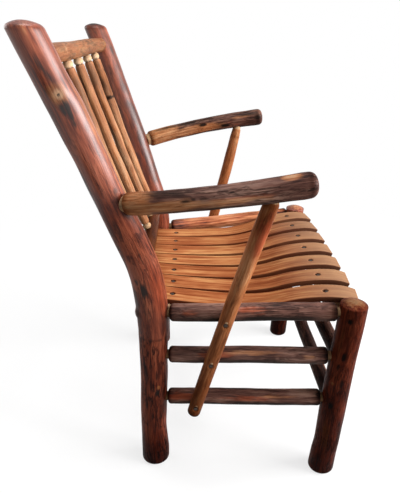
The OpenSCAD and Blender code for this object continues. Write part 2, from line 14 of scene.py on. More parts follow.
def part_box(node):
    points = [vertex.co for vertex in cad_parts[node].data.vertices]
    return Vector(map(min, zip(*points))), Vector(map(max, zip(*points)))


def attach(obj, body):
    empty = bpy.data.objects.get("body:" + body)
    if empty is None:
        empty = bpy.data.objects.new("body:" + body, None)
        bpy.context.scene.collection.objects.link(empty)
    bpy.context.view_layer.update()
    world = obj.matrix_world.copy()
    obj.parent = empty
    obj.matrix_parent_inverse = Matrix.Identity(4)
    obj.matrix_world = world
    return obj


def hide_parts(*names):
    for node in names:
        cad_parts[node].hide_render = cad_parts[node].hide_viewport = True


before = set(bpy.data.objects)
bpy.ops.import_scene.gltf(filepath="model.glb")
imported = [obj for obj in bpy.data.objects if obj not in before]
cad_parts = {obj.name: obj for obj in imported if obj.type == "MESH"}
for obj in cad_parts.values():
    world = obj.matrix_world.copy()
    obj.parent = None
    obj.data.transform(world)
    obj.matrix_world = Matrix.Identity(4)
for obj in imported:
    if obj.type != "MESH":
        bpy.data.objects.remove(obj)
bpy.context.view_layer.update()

bl_info = {
    "name": "Hickory Armchair",
    "version": (1, 0, 0),
    "blender": (4, 5, 0),
    "location": "3D View > Sidebar > Armchair",
    "description": "Builds a rustic hickory pole armchair with a slat seat",
    "category": "Add Mesh",
}

MM = 0.001
SIDES = {"right": -1, "left": 1}
# The middle of the chair's length lies this far behind the seat middle that its sizes start from
MIDDLE = 13.082

# Marks on a pole: dark (burns and dirt, and in places painted shade), amber (and on one post a
# painted lit flank), pale bare wood (and beside the support nails a painted highlight), red inner
# bark, and bark that is left on (which on some rear flanks also stands for painted shade).
# The first four are the channels of the mesh attribute "skin".
DARK, TAN, BARE_AND_GLINT, RED, BARK_AND_SHADE = range(5)
SKIN_KINDS = (DARK, TAN, BARE_AND_GLINT, RED)

# Heights at which the middle lines of the side poles meet the rear and the front posts
SIDE_POLES = {"side_seat_rail": (386, 410), "upper_side_stretcher": (286, 308),
              "lower_side_stretcher": (176.5, 201)}
# Heights at which the arms and the rails of the back meet the rear posts
ARM_Z, CREST_Z, LOW_RAIL_Z = 620, 856, 477
# The lower back rail lies this far behind the posts' middle line
LOW_RAIL_BACK = 9
# The middle of the left arm's front end, and how far the arm bows outward and up
ARM_END, ARM_BOW = (304, -148, 675.5), (25, 0, 3)
# An arm support crosses the lower stretcher and the seat rail and meets the arm at these distances
# along them, and runs on below the stretcher
SUPPORT_ON_STRETCHER, SUPPORT_ON_RAIL, SUPPORT_ON_ARM, SUPPORT_TAIL = 91.5, 142, 281, 20
# The two rows of slat nails lie this far behind the seat middle, and the rear one this far from
# the slats' rear ends
REAR_NAILS, FRONT_NAILS, NAIL_INSET = 89, -222, 54
SLAT_REAR = REAR_NAILS + NAIL_INSET
# Lengths and radii of the slats' dish, rise, crown and rolled front edge
SLAT_BENDS = ((180, 1700), (105, 312), (105, -312), (39, -105))
SLAT_LENGTH = sum(run for run, _ in SLAT_BENDS)
# Height of the slats' rear ends, and the angle at which they fall towards the dish, in degrees
SLAT_END_Z, SLAT_FALL = 399.5, 6.1

# Metres of grain between a pole and the one whose seed is one less, and between two spindles
POLE_SHIFT, SPINDLE_SHIFT = 1.7, 2.3


def linear(code):
    """Linear colour, with alpha, of an sRGB hex code."""
    parts = [int(code[i : i + 2], 16) / 255 for i in (1, 3, 5)]
    return (*(c / 12.92 if c <= 0.04045 else ((c + 0.055) / 1.055) ** 2.4 for c in parts), 1.0)


def colour(name, description, code):
    return bpy.props.FloatVectorProperty(
        name=name, description=description, subtype="COLOR", size=4, min=0, max=1,
        default=linear(code))


def length(name, description, size_mm):
    return bpy.props.FloatProperty(
        name=name, description=description, subtype="DISTANCE", unit="LENGTH", min=0,
        default=size_mm * MM)


def place(name, description, x, y, z):
    return bpy.props.FloatVectorProperty(
        name=name, description=description, subtype="XYZ", unit="LENGTH", size=3,
        default=(x * MM, y * MM, z * MM))


# ---------------------------------------------------------------- sizes and colours


class ArmchairSizes(bpy.types.PropertyGroup):
    rear_foot: place("Rear foot", "Middle of the left rear foot", 222, 137, 0)
    rear_knee: place("Rear knee", "Where the left rear post bends", 217, 120, 446)
    rear_crown: place("Rear crown", "Top of the left rear post", 277, 284, 904)
    rear_foot_d: length("Rear foot diameter", "Rear posts at the floor", 55.5)
    knee_d: length("Knee diameter", "Rear posts at the bend", 54)
    rear_top_d: length("Rear top diameter", "Rear posts at the top", 50.5)
    bend_radius: length("Bend radius", "Steam bend of the rear posts", 350)
    front_foot: place("Front foot", "Middle of the left front foot", 257, -238, 0)
    front_rim: place("Front rim", "Rim of the dome on the left front post", 260, -250, 426)
    front_post_d: length("Front post diameter", "Front posts", 50)
    dome_height: length("Dome height", "Domes on the front posts", 9)
    side_rail_d: length("Side seat rail diameter", "Poles beside the seat", 35.5)
    upper_stretcher_d: length("Upper side stretcher diameter", "Upper poles between the legs", 34)
    lower_stretcher_d: length("Lower side stretcher diameter", "Lower poles between the legs", 33.5)
    cross_stretcher_d: length("Cross stretcher diameter", "Poles across the front and rear", 32)
    tenon_d: length("Tenon diameter", "Whittled ends of the poles", 19)
    bearer_d: length("Bearer diameter", "Flat-topped poles under the slats", 50)
    crest_d: length("Crest rail diameter", "Top rail of the back", 31)
    low_rail_d: length("Lower back rail diameter", "Bottom rail of the back", 30)
    spindle_d: length("Spindle diameter", "Thin poles of the back", 18)
    arm_d: length("Arm diameter", "Arms at the middle", 41)
    support_d: length("Arm support diameter", "Raking poles under the arms", 28)
    slat_w: length("Slat width", "Seat slats", 50.5)
    slat_t: length("Slat thickness", "Seat slats", 10.5)
    slat_count: bpy.props.IntProperty(name="Slats", description="Seat slats", default=7, min=5, max=7)
    rear_pitch: length("Rear slat pitch", "Distance between slats at the rear nails", 53.2)
    front_pitch: length("Front slat pitch", "Distance between slats at the front nails", 68.4)
    spindle_count: bpy.props.IntProperty(name="Spindles", description="Back", default=4, min=3, max=5)
    spindle_low_pitch: length("Lower spindle pitch", "Distance at the lower back rail", 75)
    spindle_top_pitch: length("Upper spindle pitch", "Distance at the crest rail", 86.6)
    nail_head_d: length("Nail head diameter", "Wire nails", 8)


class ArmchairColours(bpy.types.PropertyGroup):
    post_dark: colour("Post, dark", "Stained posts in their grooves", "#451B12")
    post_mid: colour("Post", "Stained posts", "#8E4832")
    post_light: colour("Post, light", "Stained posts where they are rubbed", "#B76A4E")
    bark_dark: colour("Bark, dark", "Bark poles in their grooves", "#2C1A17")
    bark_mid: colour("Bark", "Bark poles", "#5C3C33")
    bark_light: colour("Bark, light", "Bark poles where they are rubbed", "#8A6758")
    peeled_dark: colour("Peeled wood, dark", "Peeled poles in their grooves", "#6E3C20")
    peeled_mid: colour("Peeled wood", "Peeled poles", "#AC6C44")
    peeled_light: colour("Peeled wood, light", "Peeled poles where they are rubbed", "#CE976C")
    slat_dark: colour("Slat, dark", "Grain lines of the slats", "#844121")
    slat_mid: colour("Slat", "Seat slats", "#B26A40")
    slat_light: colour("Slat, light", "Pale grain of the slats", "#D49963")
    inner_mid: colour("Inner bark", "Red patches on bark poles", "#8E4128")
    inner_light: colour("Inner bark, light", "Red patches where they are rubbed", "#B4583A")
    # Partly weathering and partly a painted sheen on the slats' rolled front
    slat_greyed_and_sheen: colour("Slat, weathered", "Front edges rubbed and greyed by legs and light", "#A98568")
    # Painted shade on the slats' sawn sides in the gaps
    slat_side_in_shade: colour("Slat side", "Sawn sides of the slats in their shadow gaps", "#4A1D12")
    # Painted shade in the slat nails' sinkings
    sinking_shade: colour("Nail sinking", "Stain gathered round the slat nails", "#2A120B")
    # Also mixed into a painted highlight beside each support nail
    bare_and_glint: colour("Bare wood", "Whittled tenons and cut ends", "#E2CBAA")
    # Also paints shade along undersides, at the spindles' beads and in the support nails' sinkings
    burn_dirt_and_shade: colour("Burnt patch", "Black marks of burning and rubbed dirt", "#15110F")
    nail: colour("Nail", "Oxidised nail heads", "#2B2725")
    rust: colour("Rust", "Rust on the nail heads", "#4A3A31")
    floor: colour("Floor", "Light that the studio paper throws back", "#9A9894")


def sizes():
    return bpy.context.scene.armchair_sizes


def colours():
    """The colours by name, as plain tuples."""
    group = bpy.context.scene.armchair_colours
    return SimpleNamespace(**{name: tuple(getattr(group, name)) for name in group.__annotations__})


# ---------------------------------------------------------------- lines and arcs


def unit(v):
    return v / np.linalg.norm(v)


def point(v, side, back=0.0):
    """A place among the sizes as a millimetre point in the chair's frame, on a side of the chair."""
    x, y, z = (c / MM for c in v)
    return np.array([side * x, y + back - MIDDLE, z])


def between(a, b, share):
    return a + share * (b - a)


def rear_axis(z, side, back=0.0):
    """Middle line of a rear post at a height, without the roundness of its bend."""
    s = sizes()
    foot, knee, crown = (point(p, side, back) for p in (s.rear_foot, s.rear_knee, s.rear_crown))
    if z < knee[2]:
        return between(foot, knee, z / knee[2])
    return between(knee, crown, (z - knee[2]) / (crown[2] - knee[2]))


def front_axis(z, side, back=0.0):
    """Middle line of a front post at a height."""
    s = sizes()
    foot, rim = point(s.front_foot, side, back), point(s.front_rim, side, back)
    return between(foot, rim, z / rim[2])


def straight(a, b, count=80):
    return between(a, b, np.linspace(0, 1, count)[:, None])


def bowed(a, b, bulge, count=120):
    """Circular arc from a to b whose middle stands off by the sideways part of bulge."""
    chord, u = np.linalg.norm(b - a), unit(b - a)
    off = bulge - (bulge @ u) * u
    rise = np.linalg.norm(off)
    n, radius = off / rise, chord * chord / (8 * rise) + rise / 2
    half = math.asin(chord / 2 / radius)
    turn = np.linspace(-half, half, count)[:, None]
    return (a + b) / 2 + radius * (np.sin(turn) * u + (np.cos(turn) - math.cos(half)) * n)


def through(p, q, r, before, count=140):
    """Arc from p through q to r, carried on for a length before p."""
    a, b = q - p, r - p
    w = np.cross(a, b)
    to_centre = ((b @ b) * np.cross(w, a) + (a @ a) * np.cross(b, w)) / (2 * (w @ w))
    radius = np.linalg.norm(to_centre)
    heading, inward = np.cross(to_centre, w) / (radius * np.linalg.norm(w)), to_centre / radius
    angle = 2 * math.asin(np.linalg.norm(b) / 2 / radius)
    turn = np.linspace(-before / radius, angle, count)[:, None]
    return p + radius * (np.sin(turn) * heading + (1 - np.cos(turn)) * inward)


def measured(path):
    """Distance along a path at each of its points."""
    return np.concatenate([[0], np.cumsum(np.linalg.norm(np.diff(path, axis=0), axis=1))])


def at(path, along):
    """Points of a path at distances along it."""
    total = measured(path)
    return np.stack([np.interp(along, total, path[:, k]) for k in range(3)], -1)


# ---------------------------------------------------------------- natural poles


def frames(path, stations, face):
    """Middle, heading and two sideways directions at each station. The first faces the given way."""
    end, face = measured(path)[-1], np.asarray(face, float)
    inside = np.clip(stations, 0, end)
    # A heading is that of the 4 mm of path round the station
    heading = at(path, inside + 2.0) - at(path, inside - 2.0)
    heading /= np.linalg.norm(heading, axis=1)[:, None]
    # Beyond the ends of its path, a pole runs straight on
    astern, ahead = unit(path[1] - path[0]), unit(path[-1] - path[-2])
    before, past = np.clip(stations, None, 0), np.clip(stations - end, 0, None)
    middle = at(path, stations) + (past[:, None] * ahead + before[:, None] * astern)
    first = face - (heading @ face)[:, None] * heading
    first /= np.linalg.norm(first, axis=1)[:, None]
    return middle, heading, first, np.cross(heading, first)


def lumpiness(along, angle, rng):
    """Slow swells along a pole and round it, of about unit size."""
    total = np.zeros(np.broadcast(along, angle).shape)
    for waves in range(4):
        for _ in range(3):
            wavelength = rng.uniform(60, 260) / (1 + 0.5 * waves)
            total += rng.normal() * np.cos(waves * angle + rng.uniform(0, 7)) * np.cos(
                2 * math.pi * along / wavelength + rng.uniform(0, 7)) / (1 + 0.6 * waves)
    return total / 3.2


def smooth(x, points, column=1):
    """Smooth curve through a column of the points, whose first column is the place.

    It never overshoots, and beyond the end points it stays level.
    """
    points = np.array(points, float)
    if len(points) == 1:
        return np.full(np.shape(x), points[0, column])
    xs, ys = points[:, 0], points[:, column]
    rise = np.diff(ys) / np.diff(xs)
    level = rise[1:] * rise[:-1] <= 0
    mean = 2 * rise[1:] * rise[:-1] / np.where(level, 1, rise[1:] + rise[:-1])
    slope = np.concatenate([[rise[0]], np.where(level, 0, mean), [rise[-1]]])
    i = np.clip(np.searchsorted(xs, x) - 1, 0, len(xs) - 2)
    h = xs[i + 1] - xs[i]
    t = np.clip((x - xs[i]) / h, 0, 1)
    return ((1 + 2 * t) * (1 - t) ** 2 * ys[i] + t * (1 - t) ** 2 * h * slope[i]
            + t * t * (3 - 2 * t) * ys[i + 1] + t * t * (t - 1) * h * slope[i + 1])


def turned_by(angle, degrees):
    """Angle from a direction given in degrees, between half a turn either way."""
    return (angle - math.radians(degrees) + math.pi) % (2 * math.pi) - math.pi


def spots(along, angle, radius, marks, kind):
    """Strength, 0 to 1, of the soft-edged marks of one kind. An angle of None goes all round."""
    total = np.zeros(np.broadcast(along, angle).shape)
    for mark_kind, s, degrees, half_long, half_wide, strength in marks:
        if mark_kind != kind:
            continue
        d = ((along - s) / half_long) ** 2
        if degrees is not None:
            d = d + (turned_by(angle, degrees) * radius / half_wide) ** 2
        total = np.maximum(total, np.clip(1.45 - np.sqrt(d), 0, 1) * strength)
    return total


class Cap:
    """A closed end: its rounding, how high it domes, and the way that its rim faces."""

    def __init__(self, rounding=1.0, dome=0.0, facing=None):
        self.rounding, self.dome, self.facing = rounding, dome, facing

    def rings(self, radius):
        """Share of the radius and height above the start of the rounding, from rim to middle."""
        e = min(self.rounding, radius * 0.95)
        # The rounding ends at the slope that the dome begins with
        slope = math.atan2(2 * self.dome, radius - 0.6 * e)
        turn = np.linspace(0, math.pi / 2 - slope, 6)[1:] if e > 1.5 else np.array([math.pi / 2])
        share = 1 - e * (1 - np.cos(turn)) / radius
        inner = share[-1] * np.array([0.84, 0.68, 0.52, 0.36, 0.2])
        domed = e * math.sin(turn[-1]) + self.dome * (1 - (inner / share[-1]) ** 2)
        return np.concatenate([share, inner]), np.concatenate([e * np.sin(turn), domed])


def knot_relief(along, angle, body, knots):
    """Height that knots and sinkings add to a pole's surface."""
    total = np.zeros(np.broadcast(along, angle).shape)
    for s, degrees, size, height in knots:
        d = np.sqrt(((along - s) / size) ** 2 + (turned_by(angle, degrees) * body / size) ** 2)
        # A knot is a ring-shaped swelling, and a negative height is a sinking with a flat floor
        knot = np.exp(-(d ** 2)) - 0.55 * np.exp(-((d / 0.35) ** 2))
        total += height * (knot if height > 0 else np.exp(-(d ** 6)))
    return total


def tube_faces(rings, sides):
    """Faces of a tube of rings, closed at its start and its end by the two vertices that follow."""
    j = np.arange(sides)
    nxt = (j + 1) % sides
    faces = []
    for a in range(0, (rings - 1) * sides, sides):
        b = a + sides
        faces += np.stack([a + j, a + nxt, b + nxt, b + j], -1).tolist()
    last, tip = (rings - 1) * sides, rings * sides
    faces += [(tip, int(n), int(m)) for m, n in zip(j, nxt)]
    faces += [(last + int(m), last + int(n), tip + 1) for m, n in zip(j, nxt)]
    return faces


def grain_start(seed):
    """Where along the endless grain a pole's own stretch begins, in metres."""
    return POLE_SHIFT * (seed % 89)


def surface(pole, profile, body, whole, shade, rough, marks):
    """What the materials read of a pole: its brightness, its marks and how much bark is left, where
    bark marks on a rear flank also stand for painted shade.

    pole holds each vertex's place on the straightened pole, and whole the two distances between
    which the pole isn't whittled.
    """
    around, s = np.arctan2(pole[:, 1], pole[:, 0]), pole[:, 2]
    skin = np.stack([spots(s, around, body, marks, kind) for kind in SKIN_KINDS], -1)
    thickness = np.interp(s, profile[:, 0], profile[:, 1]) / body
    skin[:, BARE_AND_GLINT] = np.maximum(skin[:, BARE_AND_GLINT], np.clip((0.84 - thickness) / 0.12, 0, 1))
    # Old dirt darkens the pole beside each whittled shoulder
    from_shoulder = np.minimum(np.abs(s - whole[0]), np.abs(whole[1] - s))
    if thickness.min() >= 0.8:
        from_shoulder = 99
    grime = 1 - 0.25 * np.exp(-((from_shoulder / 5) ** 2))
    bark_and_shade = np.maximum(smooth(s, rough), spots(s, around, body, marks, BARK_AND_SHADE))
    return {"skin": np.clip(skin, 0, 1), "shade": smooth(s, shade) * grime, "rough": bark_and_shade}


def pole_mesh(path, profile, seed, sides=40, step=4.0, face=(0, -1, 0), lump=0.02, wander=1.0,
              start=Cap(), end=Cap(), shape=((0, 0, 0, 1),), shade=((0, 1),), rough=((0, 1),),
              knots=(), marks=()):
    """Vertices, faces and attributes of a natural pole.

    path is its middle line, and profile its radius as [distance along, radius] pairs, whose first
    and last distances are the pole's ends. wander is how far the middle line strays at random, and
    shape strays on purpose: (along, towards face, sideways, share of the radius). shade is
    (along, brightness), rough (along, share of the bark's relief), knots (along, degrees, size,
    height) and marks (kind, along, degrees, half length, half width, strength), with the degrees
    measured from face.
    """
    rng = np.random.default_rng(seed)
    profile = np.array(profile, float)
    first, last = profile[0, 0], profile[-1, 0]
    stations = np.concatenate([np.arange(first, last, step), profile[:, 0]])
    stations = np.unique(np.round(stations, 2))
    stations = stations[np.concatenate([[True], np.diff(stations) > 0.3])]
    radius = np.interp(stations, profile[:, 0], profile[:, 1])
    body = profile[:, 1].max()
    # Whittled ends keep the shape that the knife gave them
    solid = np.clip((radius / body - 0.72) / 0.2, 0, 1)
    middle, heading, e1, e2 = frames(path, stations, face)
    window = np.sin(math.pi * np.clip((stations - first) / (last - first), 0, 1))
    for column, direction in ((1, e1), (2, e2)):
        drift = sum(
            rng.normal() * np.sin(2 * math.pi * stations / rng.uniform(160, 420) + rng.uniform(0, 7))
            for _ in range(3))
        stray = wander * window * drift / 1.7 + smooth(stations, shape, column)
        middle = middle + stray[:, None] * direction
    swollen = solid * (smooth(stations, shape, 3) - 1)
    angle = np.linspace(0, 2 * math.pi, sides, endpoint=False)
    # A swelling shows most towards and away from the face, and a third as much sideways
    swell = 1 + swollen[:, None] * (0.35 + 0.65 * np.cos(angle) ** 2)
    swell = swell + lump * solid[:, None] * lumpiness(stations[:, None], angle, rng)
    spread = radius[:, None] * swell + knot_relief(stations[:, None], angle, body, knots)
    radial = (np.cos(angle)[None, :, None] * e1[:, None, :]
              + np.sin(angle)[None, :, None] * e2[:, None, :])
    points = middle[:, None, :] + spread[..., None] * radial
    round_x, round_y = np.cos(angle) * body, np.sin(angle) * body
    rows = [points]
    flat = [np.stack(np.broadcast_arrays(round_x, round_y, stations[:, None]), -1)]
    tips = []
    for cap, k, sign in ((start, 0, -1), (end, -1, 1)):
        way = heading[k] * sign
        facing = way if cap.facing is None else unit(np.asarray(cap.facing, float))
        lean = -(radial[k] @ facing) / (way @ facing)
        if cap.facing is not None:
            # The last 70 mm are sheared so that the rim faces the asked way
            blend = np.clip(1 - np.abs(stations - stations[k]) / 70, 0, 1)
            blend = blend * blend * (3 - 2 * blend)
            points += (blend[:, None] * lean * spread[k])[..., None] * way
        share, rise = cap.rings(radius[k])
        ring_r = share[:, None] * spread[k]
        ring = (middle[k] + ring_r[..., None] * radial[k]
                + (rise[:, None] + ring_r * lean)[..., None] * way)
        s = stations[k] + sign * rise
        ring_flat = np.stack(np.broadcast_arrays(
            share[:, None] * round_x, share[:, None] * round_y, s[:, None]), -1)
        place_in, order = (0, slice(None, None, -1)) if sign < 0 else (len(rows), slice(None))
        rows.insert(place_in, ring[order])
        flat.insert(place_in, ring_flat[order])
        tips.append((middle[k] + (rise[-1] + cap.dome * 0.04) * way, [0, 0, s[-1]]))
    grid = np.concatenate(rows)
    vertices = np.concatenate([grid.reshape(-1, 3), [tips[0][0], tips[1][0]]])
    pole = np.concatenate([np.concatenate(flat).reshape(-1, 3), [tips[0][1], tips[1][1]]])
    full = stations[radius / body > 0.9]
    attributes = surface(pole, profile, body, (full[0], full[-1]), shade, rough, marks)
    attributes["pole"] = pole * MM + [0, 0, grain_start(seed)]
    return vertices, tube_faces(len(grid), sides), attributes


def mesh_object(name, vertices, faces, attributes, material, rounded=True):
    """New object with its place in its mesh, in metres."""
    mesh = bpy.data.meshes.new(name)
    mesh.from_pydata((np.asarray(vertices) * MM).tolist(), [], faces)
    kinds = {1: ("FLOAT", "value"), 3: ("FLOAT_VECTOR", "vector"), 4: ("FLOAT_COLOR", "color")}
    for label, values in attributes.items():
        values = np.asarray(values, np.float32)
        kind, field = kinds[1 if values.ndim == 1 else values.shape[1]]
        layer = mesh.attributes.new(label, kind, "POINT")
        layer.data.foreach_set(field, values.ravel())
    mesh.polygons.foreach_set("use_smooth", [rounded] * len(mesh.polygons))
    mesh.materials.append(material)
    mesh.update()
    made = bpy.data.objects.new(name, mesh)
    bpy.context.scene.collection.objects.link(made)
    return made


def stand_in(made, slot, *nodes):
    """Puts a finished piece on the chair in place of its CAD nodes."""
    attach(made, "root")
    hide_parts(*nodes)


def rounded_shoulder(first, run, small, large, steps=6):
    """Profile of a whittled shoulder that swells from a tenon to the whole pole."""
    turn = np.linspace(0, math.pi / 2, steps)
    return [(first + run * (1 - math.cos(a)), small + (large - small) * math.sin(a)) for a in turn]


def tenoned(path, radius, tenon, roots, reveal=3, shave=7):
    """Profile of a pole between two posts whose surfaces lie at the given distances from its ends.

    reveal is how much of each tenon shows, and shave the length of each shoulder.
    """
    total = measured(path)[-1]
    hidden = 20
    left, right = ([(root - hidden, tenon)] + rounded_shoulder(root + reveal, shave, tenon, radius)
                   for root in roots)
    return left + [(total - s, r) for s, r in reversed(right)]


def stained_ends(path, shade, root=27):
    """Brightness along a pole whose tenons have taken up more stain than its middle."""
    total = measured(path)[-1]
    return ((0, 0.5), (root + 3, 0.5), (root + 12, 0.85 * shade), (root + 30, shade),
            (total - 60, shade), (total - 40, 0.8 * shade), (total - 30, 0.5), (total, 0.5))


# ---------------------------------------------------------------- materials


def plug(tree, node, inputs):
    """Gives a node's inputs, by name or number, values or links from sockets or other nodes."""
    for key, value in inputs.items():
        socket = node.inputs[key] if isinstance(key, int) else next(
            i for i in node.inputs if i.name == key and i.enabled)
        if isinstance(value, bpy.types.Node):
            value = next(o for o in value.outputs if o.enabled)
        if isinstance(value, bpy.types.NodeSocket):
            tree.links.new(value, socket)
        else:
            socket.default_value = value


def add(tree, kind, inputs=None, stops=(), **settings):
    """Adds a node with its settings and inputs. Stops are the colours of a ramp."""
    made = tree.nodes.new(kind)
    for name, value in settings.items():
        setattr(made, name, value)
    plug(tree, made, inputs or {})
    for k, (position, shade) in enumerate(stops):
        elements = made.color_ramp.elements
        stop = elements[k] if k < len(elements) else elements.new(position)
        stop.position, stop.color = position, shade
    return made


def material_tree(name):
    """New material, its node tree and its shader."""
    material = bpy.data.materials.new(name)
    material.use_nodes = True
    return material, material.node_tree, material.node_tree.nodes["Principled BSDF"]


def patterns(tree, where, axis, apart, rows):
    """Noises by name, drawn out along one axis, each read this far from the one before it.

    A row is a name, scale, stretch, detail, roughness and warp.
    """
    made = {}
    for name, scale, stretch, detail, rough, warp in rows:
        drawn = [1, 1, 1]
        drawn[axis] = stretch
        moved = add(tree, "ShaderNodeMapping", {
            "Vector": where, "Location": (apart * len(made),) * 3, "Scale": drawn})
        made[name] = add(tree, "ShaderNodeTexNoise", {
            "Vector": moved, "Scale": scale, "Detail": detail, "Roughness": rough, "Distortion": warp})
    return made


def grain_level(tree, noise, weights):
    """Place of each point between the dark and the light of the wood, 0.5 in the middle."""
    level = 0.5
    for name, weight in weights:
        part = add(tree, "ShaderNodeMath", {0: noise[name], 1: 0.5}, operation="SUBTRACT")
        level = add(tree, "ShaderNodeMath", {0: part, 1: weight, 2: level}, operation="MULTIPLY_ADD")
    return level


def pole_material(name, shades, streak, mottle, groove, fleck, roughness, coat, relief):
    """Varnished hickory pole. Patterns follow the pole by its straightened coordinates, in metres.

    streak, mottle, groove and fleck are the strengths of the grain, the scraps of darker bark, the
    furrows and the lenticels. relief is the height of the bark in metres.
    """
    c = colours()
    dark, middle, light = shades
    material, tree, shader = material_tree(name)
    pole = add(tree, "ShaderNodeAttribute", attribute_name="pole").outputs["Vector"]
    skin = add(tree, "ShaderNodeAttribute", attribute_name="skin")
    shade = add(tree, "ShaderNodeAttribute", attribute_name="shade").outputs["Fac"]
    bark_and_shade = add(tree, "ShaderNodeAttribute", attribute_name="rough").outputs["Fac"]
    marks = add(tree, "ShaderNodeSeparateColor", {"Color": skin.outputs["Color"]}).outputs
    noise = patterns(tree, pole, 2, 1.7, (
        # Cloudy changes of tone, about 70 mm across
        ("tone", 15, 0.4, 3, 0.6, 0.4),
        # Scraps of bark left by the scraper, about 14 mm across and 50 mm long
        ("scrap", 70, 0.26, 4, 0.62, 0.5),
        # Grain, 5 mm across and 100 mm long, and fibres, drawn 1.7 mm across so that they show
        ("grain", 200, 0.05, 4, 0.65, 0.2),
        ("fibre", 600, 0.08, 3, 0.6, 0.0),
        # Furrows run where this drawn-out noise crosses its middle value, about 4 mm apart
        ("furrow", 240, 0.075, 2, 0.5, 0.4),
        # They gather in places about 40 mm across
        ("gather", 26, 0.4, 1, 0.5, 0.0)))
    level = grain_level(tree, noise, (("tone", 1.6), ("grain", 2.6 * streak), ("fibre", 1.3 * streak)))
    base = add(tree, "ShaderNodeValToRGB", {"Fac": level}, ((0.14, dark), (0.86, light), (0.5, middle)))
    scraps = add(tree, "ShaderNodeMapRange", {
        "Value": noise["scrap"], "From Min": 0.53, "From Max": 0.6, "To Max": mottle},
        interpolation_type="SMOOTHSTEP")
    scraps = add(tree, "ShaderNodeMath", {0: scraps, 1: bark_and_shade}, operation="MULTIPLY")
    off = add(tree, "ShaderNodeMath", {0: noise["furrow"], 1: 0.5}, operation="SUBTRACT")
    off = add(tree, "ShaderNodeMath", {0: off}, operation="ABSOLUTE")
    line = add(tree, "ShaderNodeMapRange", {
        "Value": off, "From Min": 0.006, "From Max": 0.05, "To Min": 1.0, "To Max": 0.0},
        interpolation_type="SMOOTHSTEP")
    gathered = add(tree, "ShaderNodeMapRange", {
        "Value": noise["gather"], "From Min": 0.4, "From Max": 0.6, "To Min": 0.15, "To Max": groove},
        interpolation_type="SMOOTHSTEP")
    furrow = add(tree, "ShaderNodeMath", {0: line, 1: gathered}, operation="MULTIPLY")
    furrow = add(tree, "ShaderNodeMath", {0: furrow, 1: bark_and_shade}, operation="MULTIPLY")
    # Lenticels and pin knots: about one cell in four of a 28 mm pattern has one
    spread = add(tree, "ShaderNodeMapping", {"Vector": pole, "Scale": (1, 1, 0.6)})
    cells = add(tree, "ShaderNodeTexVoronoi", {"Vector": spread, "Scale": 36.0})
    chance = add(tree, "ShaderNodeSeparateColor", {"Color": cells.outputs["Color"]})
    chosen = add(tree, "ShaderNodeMath", {0: chance, 1: 0.74}, operation="GREATER_THAN")
    dot = add(tree, "ShaderNodeMapRange", {
        "Value": cells.outputs["Distance"], "From Min": 0.04, "From Max": 0.17, "To Min": fleck,
        "To Max": 0.0}, interpolation_type="SMOOTHSTEP")
    dots = add(tree, "ShaderNodeMath", {0: dot, 1: chosen}, operation="MULTIPLY")
    deep = add(tree, "ShaderNodeMix", {"Factor": 0.6, "A": dark, "B": c.burn_dirt_and_shade}, data_type="RGBA")
    for share, paint in ((scraps, dark), (furrow, deep), (dots, deep)):
        base = add(tree, "ShaderNodeMix", {"Factor": share, "A": base, "B": paint}, data_type="RGBA")
    red, tan = (
        add(tree, "ShaderNodeValToRGB", {"Fac": level}, tuple(zip((0.12, 0.86, 0.5), tones)))
        for tones in ((c.post_dark, c.inner_light, c.inner_mid),
                      (c.peeled_dark, c.peeled_light, c.peeled_mid)))
    pale = add(tree, "ShaderNodeMix", {
        "Factor": noise["grain"], "A": c.peeled_light, "B": c.bare_and_glint}, data_type="RGBA")
    # The marks have edges that the grain breaks up, some more than others
    for mark, ragged, paint in ((skin.outputs["Alpha"], 1.6, red), (marks["Green"], 1.1, tan),
                                (marks["Blue"], 0.4, pale), (marks["Red"], 2.2, c.burn_dirt_and_shade)):
        edge = mark
        for label in ("scrap", "grain"):
            part = add(tree, "ShaderNodeMath", {0: noise[label], 1: 0.5}, operation="SUBTRACT")
            edge = add(tree, "ShaderNodeMath", {0: part, 1: ragged, 2: edge}, operation="MULTIPLY_ADD")
        there = add(tree, "ShaderNodeMapRange", {"Value": mark, "From Max": 0.85})
        share = add(tree, "ShaderNodeMapRange", {
            "Value": edge, "From Min": 0.25, "From Max": 0.65, "To Max": 0.95},
            interpolation_type="SMOOTHSTEP")
        share = add(tree, "ShaderNodeMath", {0: share, 1: there}, operation="MULTIPLY")
        base = add(tree, "ShaderNodeMix", {"Factor": share, "A": base, "B": paint}, data_type="RGBA")
        if paint is pale:
            bare_and_glint = share
    # Where the shade attribute is low the wood is darker and, under varnish, a little deeper in colour
    deepen = add(tree, "ShaderNodeMath", {0: shade, 1: -0.5, 2: 1.5}, operation="MULTIPLY_ADD")
    base = add(tree, "ShaderNodeGamma", {"Color": base, "Gamma": deepen})
    base = add(tree, "ShaderNodeVectorMath", {0: base, "Scale": shade}, operation="SCALE")
    height = 0.0
    for part, weight in ((furrow, -1.0), (scraps, 0.35), (noise["grain"], 0.8 * streak),
                         (noise["fibre"], 0.35), (dots, -0.4)):
        height = add(tree, "ShaderNodeMath", {0: part, 1: weight, 2: height}, operation="MULTIPLY_ADD")
    gloss = add(tree, "ShaderNodeMapRange", {
        "Value": noise["tone"], "From Min": 0.35, "From Max": 0.65, "To Min": roughness - 0.06,
        "To Max": roughness + 0.08})
    for part, weight in ((furrow, 0.3), (scraps, 0.12), (bare_and_glint, 0.15)):
        gloss = add(tree, "ShaderNodeMath", {0: part, 1: weight, 2: gloss}, operation="MULTIPLY_ADD")
